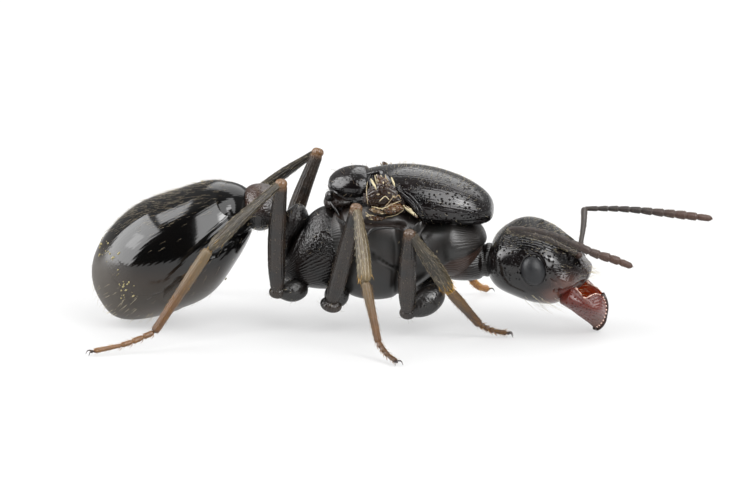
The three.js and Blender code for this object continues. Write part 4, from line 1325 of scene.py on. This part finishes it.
def add_softbox(name, azimuth, elevation, width, height, radiance, far=0.45):
    """A rectangular softbox that faces the ant from far metres away, its spans given in degrees. Its
    power is radiance times pi times its area."""
    data = bpy.data.lights.new(name, "AREA")
    data.shape = "RECTANGLE"
    data.size = 2 * far * math.tan(math.radians(width / 2))
    data.size_y = 2 * far * math.tan(math.radians(height / 2))
    data.energy = radiance * math.pi * data.size * data.size_y
    light = bpy.data.objects.new(name, data)
    way = direction(azimuth, elevation)
    light.location = Vector(placed((0, 0, 1.5))) + way * far
    light.rotation_euler = way.to_track_quat("Z", "Y").to_euler()
    light.visible_camera = False
    bpy.context.scene.collection.objects.link(light)


def add_world():
    """A pale room that is dark behind the camera, so that the shell keeps black cores between its gleams.
    Seen directly it is plain white."""
    world = bpy.data.worlds.new("pale_room")
    world.use_nodes = True
    bpy.context.scene.world = world
    tree = world.node_tree
    tree.nodes.clear()
    way = add(tree, "ShaderNodeSeparateXYZ", {0: add(tree, "ShaderNodeTexCoord").outputs["Generated"]})
    links = {"Value": way.outputs["Y"], "From Min": -0.45, "From Max": 0.0, "To Min": 0.015, "To Max": 0.33}
    room = add(tree, "ShaderNodeMapRange", links, interpolation_type="SMOOTHSTEP").outputs[0]
    seen = add(tree, "ShaderNodeLightPath").outputs["Is Camera Ray"]
    strength = add(tree, "ShaderNodeMath", {0: room, 1: seen}, operation="MAXIMUM").outputs[0]
    glow = add(tree, "ShaderNodeBackground", {"Color": (1, 1, 1, 1), "Strength": strength})
    add(tree, "ShaderNodeOutputWorld", {"Surface": glow.outputs[0]})


def add_floor():
    mesh = bpy.data.meshes.new("floor")
    half = 3.0
    corners = [(-half, -half, 0), (half, -half, 0), (half, half, 0), (-half, half, 0)]
    mesh.from_pydata(corners, [], [(0, 1, 2, 3)])
    material, _, shader = new_material("floor_light_table")
    shader.inputs["Base Color"].default_value = srgb("#8a8a8a")
    shader.inputs["Emission Color"].default_value = (1, 1, 1, 1)
    shader.inputs["Emission Strength"].default_value = 0.53
    shader.inputs["Roughness"].default_value = 0.6
    shader.inputs["Specular IOR Level"].default_value = 0.2
    mesh.materials.append(material)
    floor = bpy.data.objects.new("floor", mesh)
    bpy.context.scene.collection.objects.link(floor)


# ---- the whole model ----

rng = np.random.default_rng(7)
head_surface = add_head()
add_eyes()
add_mandibles()
add_mouthparts()
add_antennae(rng)
body_surfaces = add_mesosoma()
add_wing_scars()
waist_surfaces = add_waist()
gaster_surface = add_gaster()
add_grains(gaster_surface, rng)
for leg_name in LEGS:
    add_leg(leg_name, rng)
add_coats(head_surface, body_surfaces, waist_surfaces, gaster_surface, rng)

add_floor()
add_camera()
add_world()
add_softbox("softbox_right", 44, 42, 50, 58, 4.6)
add_softbox("softbox_left", -82, 29, 54, 54, 5.2)
add_softbox("softbox_left_top", -84, 66, 24, 12, 5.0)
add_softbox("softbox_back", 158, 48, 50, 42, 2.2)
add_softbox("lamp_right", 52, 38, 15, 15, 9.0, far=0.4)
add_softbox("lamp_left", -72, 30, 16, 16, 2.5, far=0.4)
bpy.context.scene.view_settings.view_transform = "Standard"
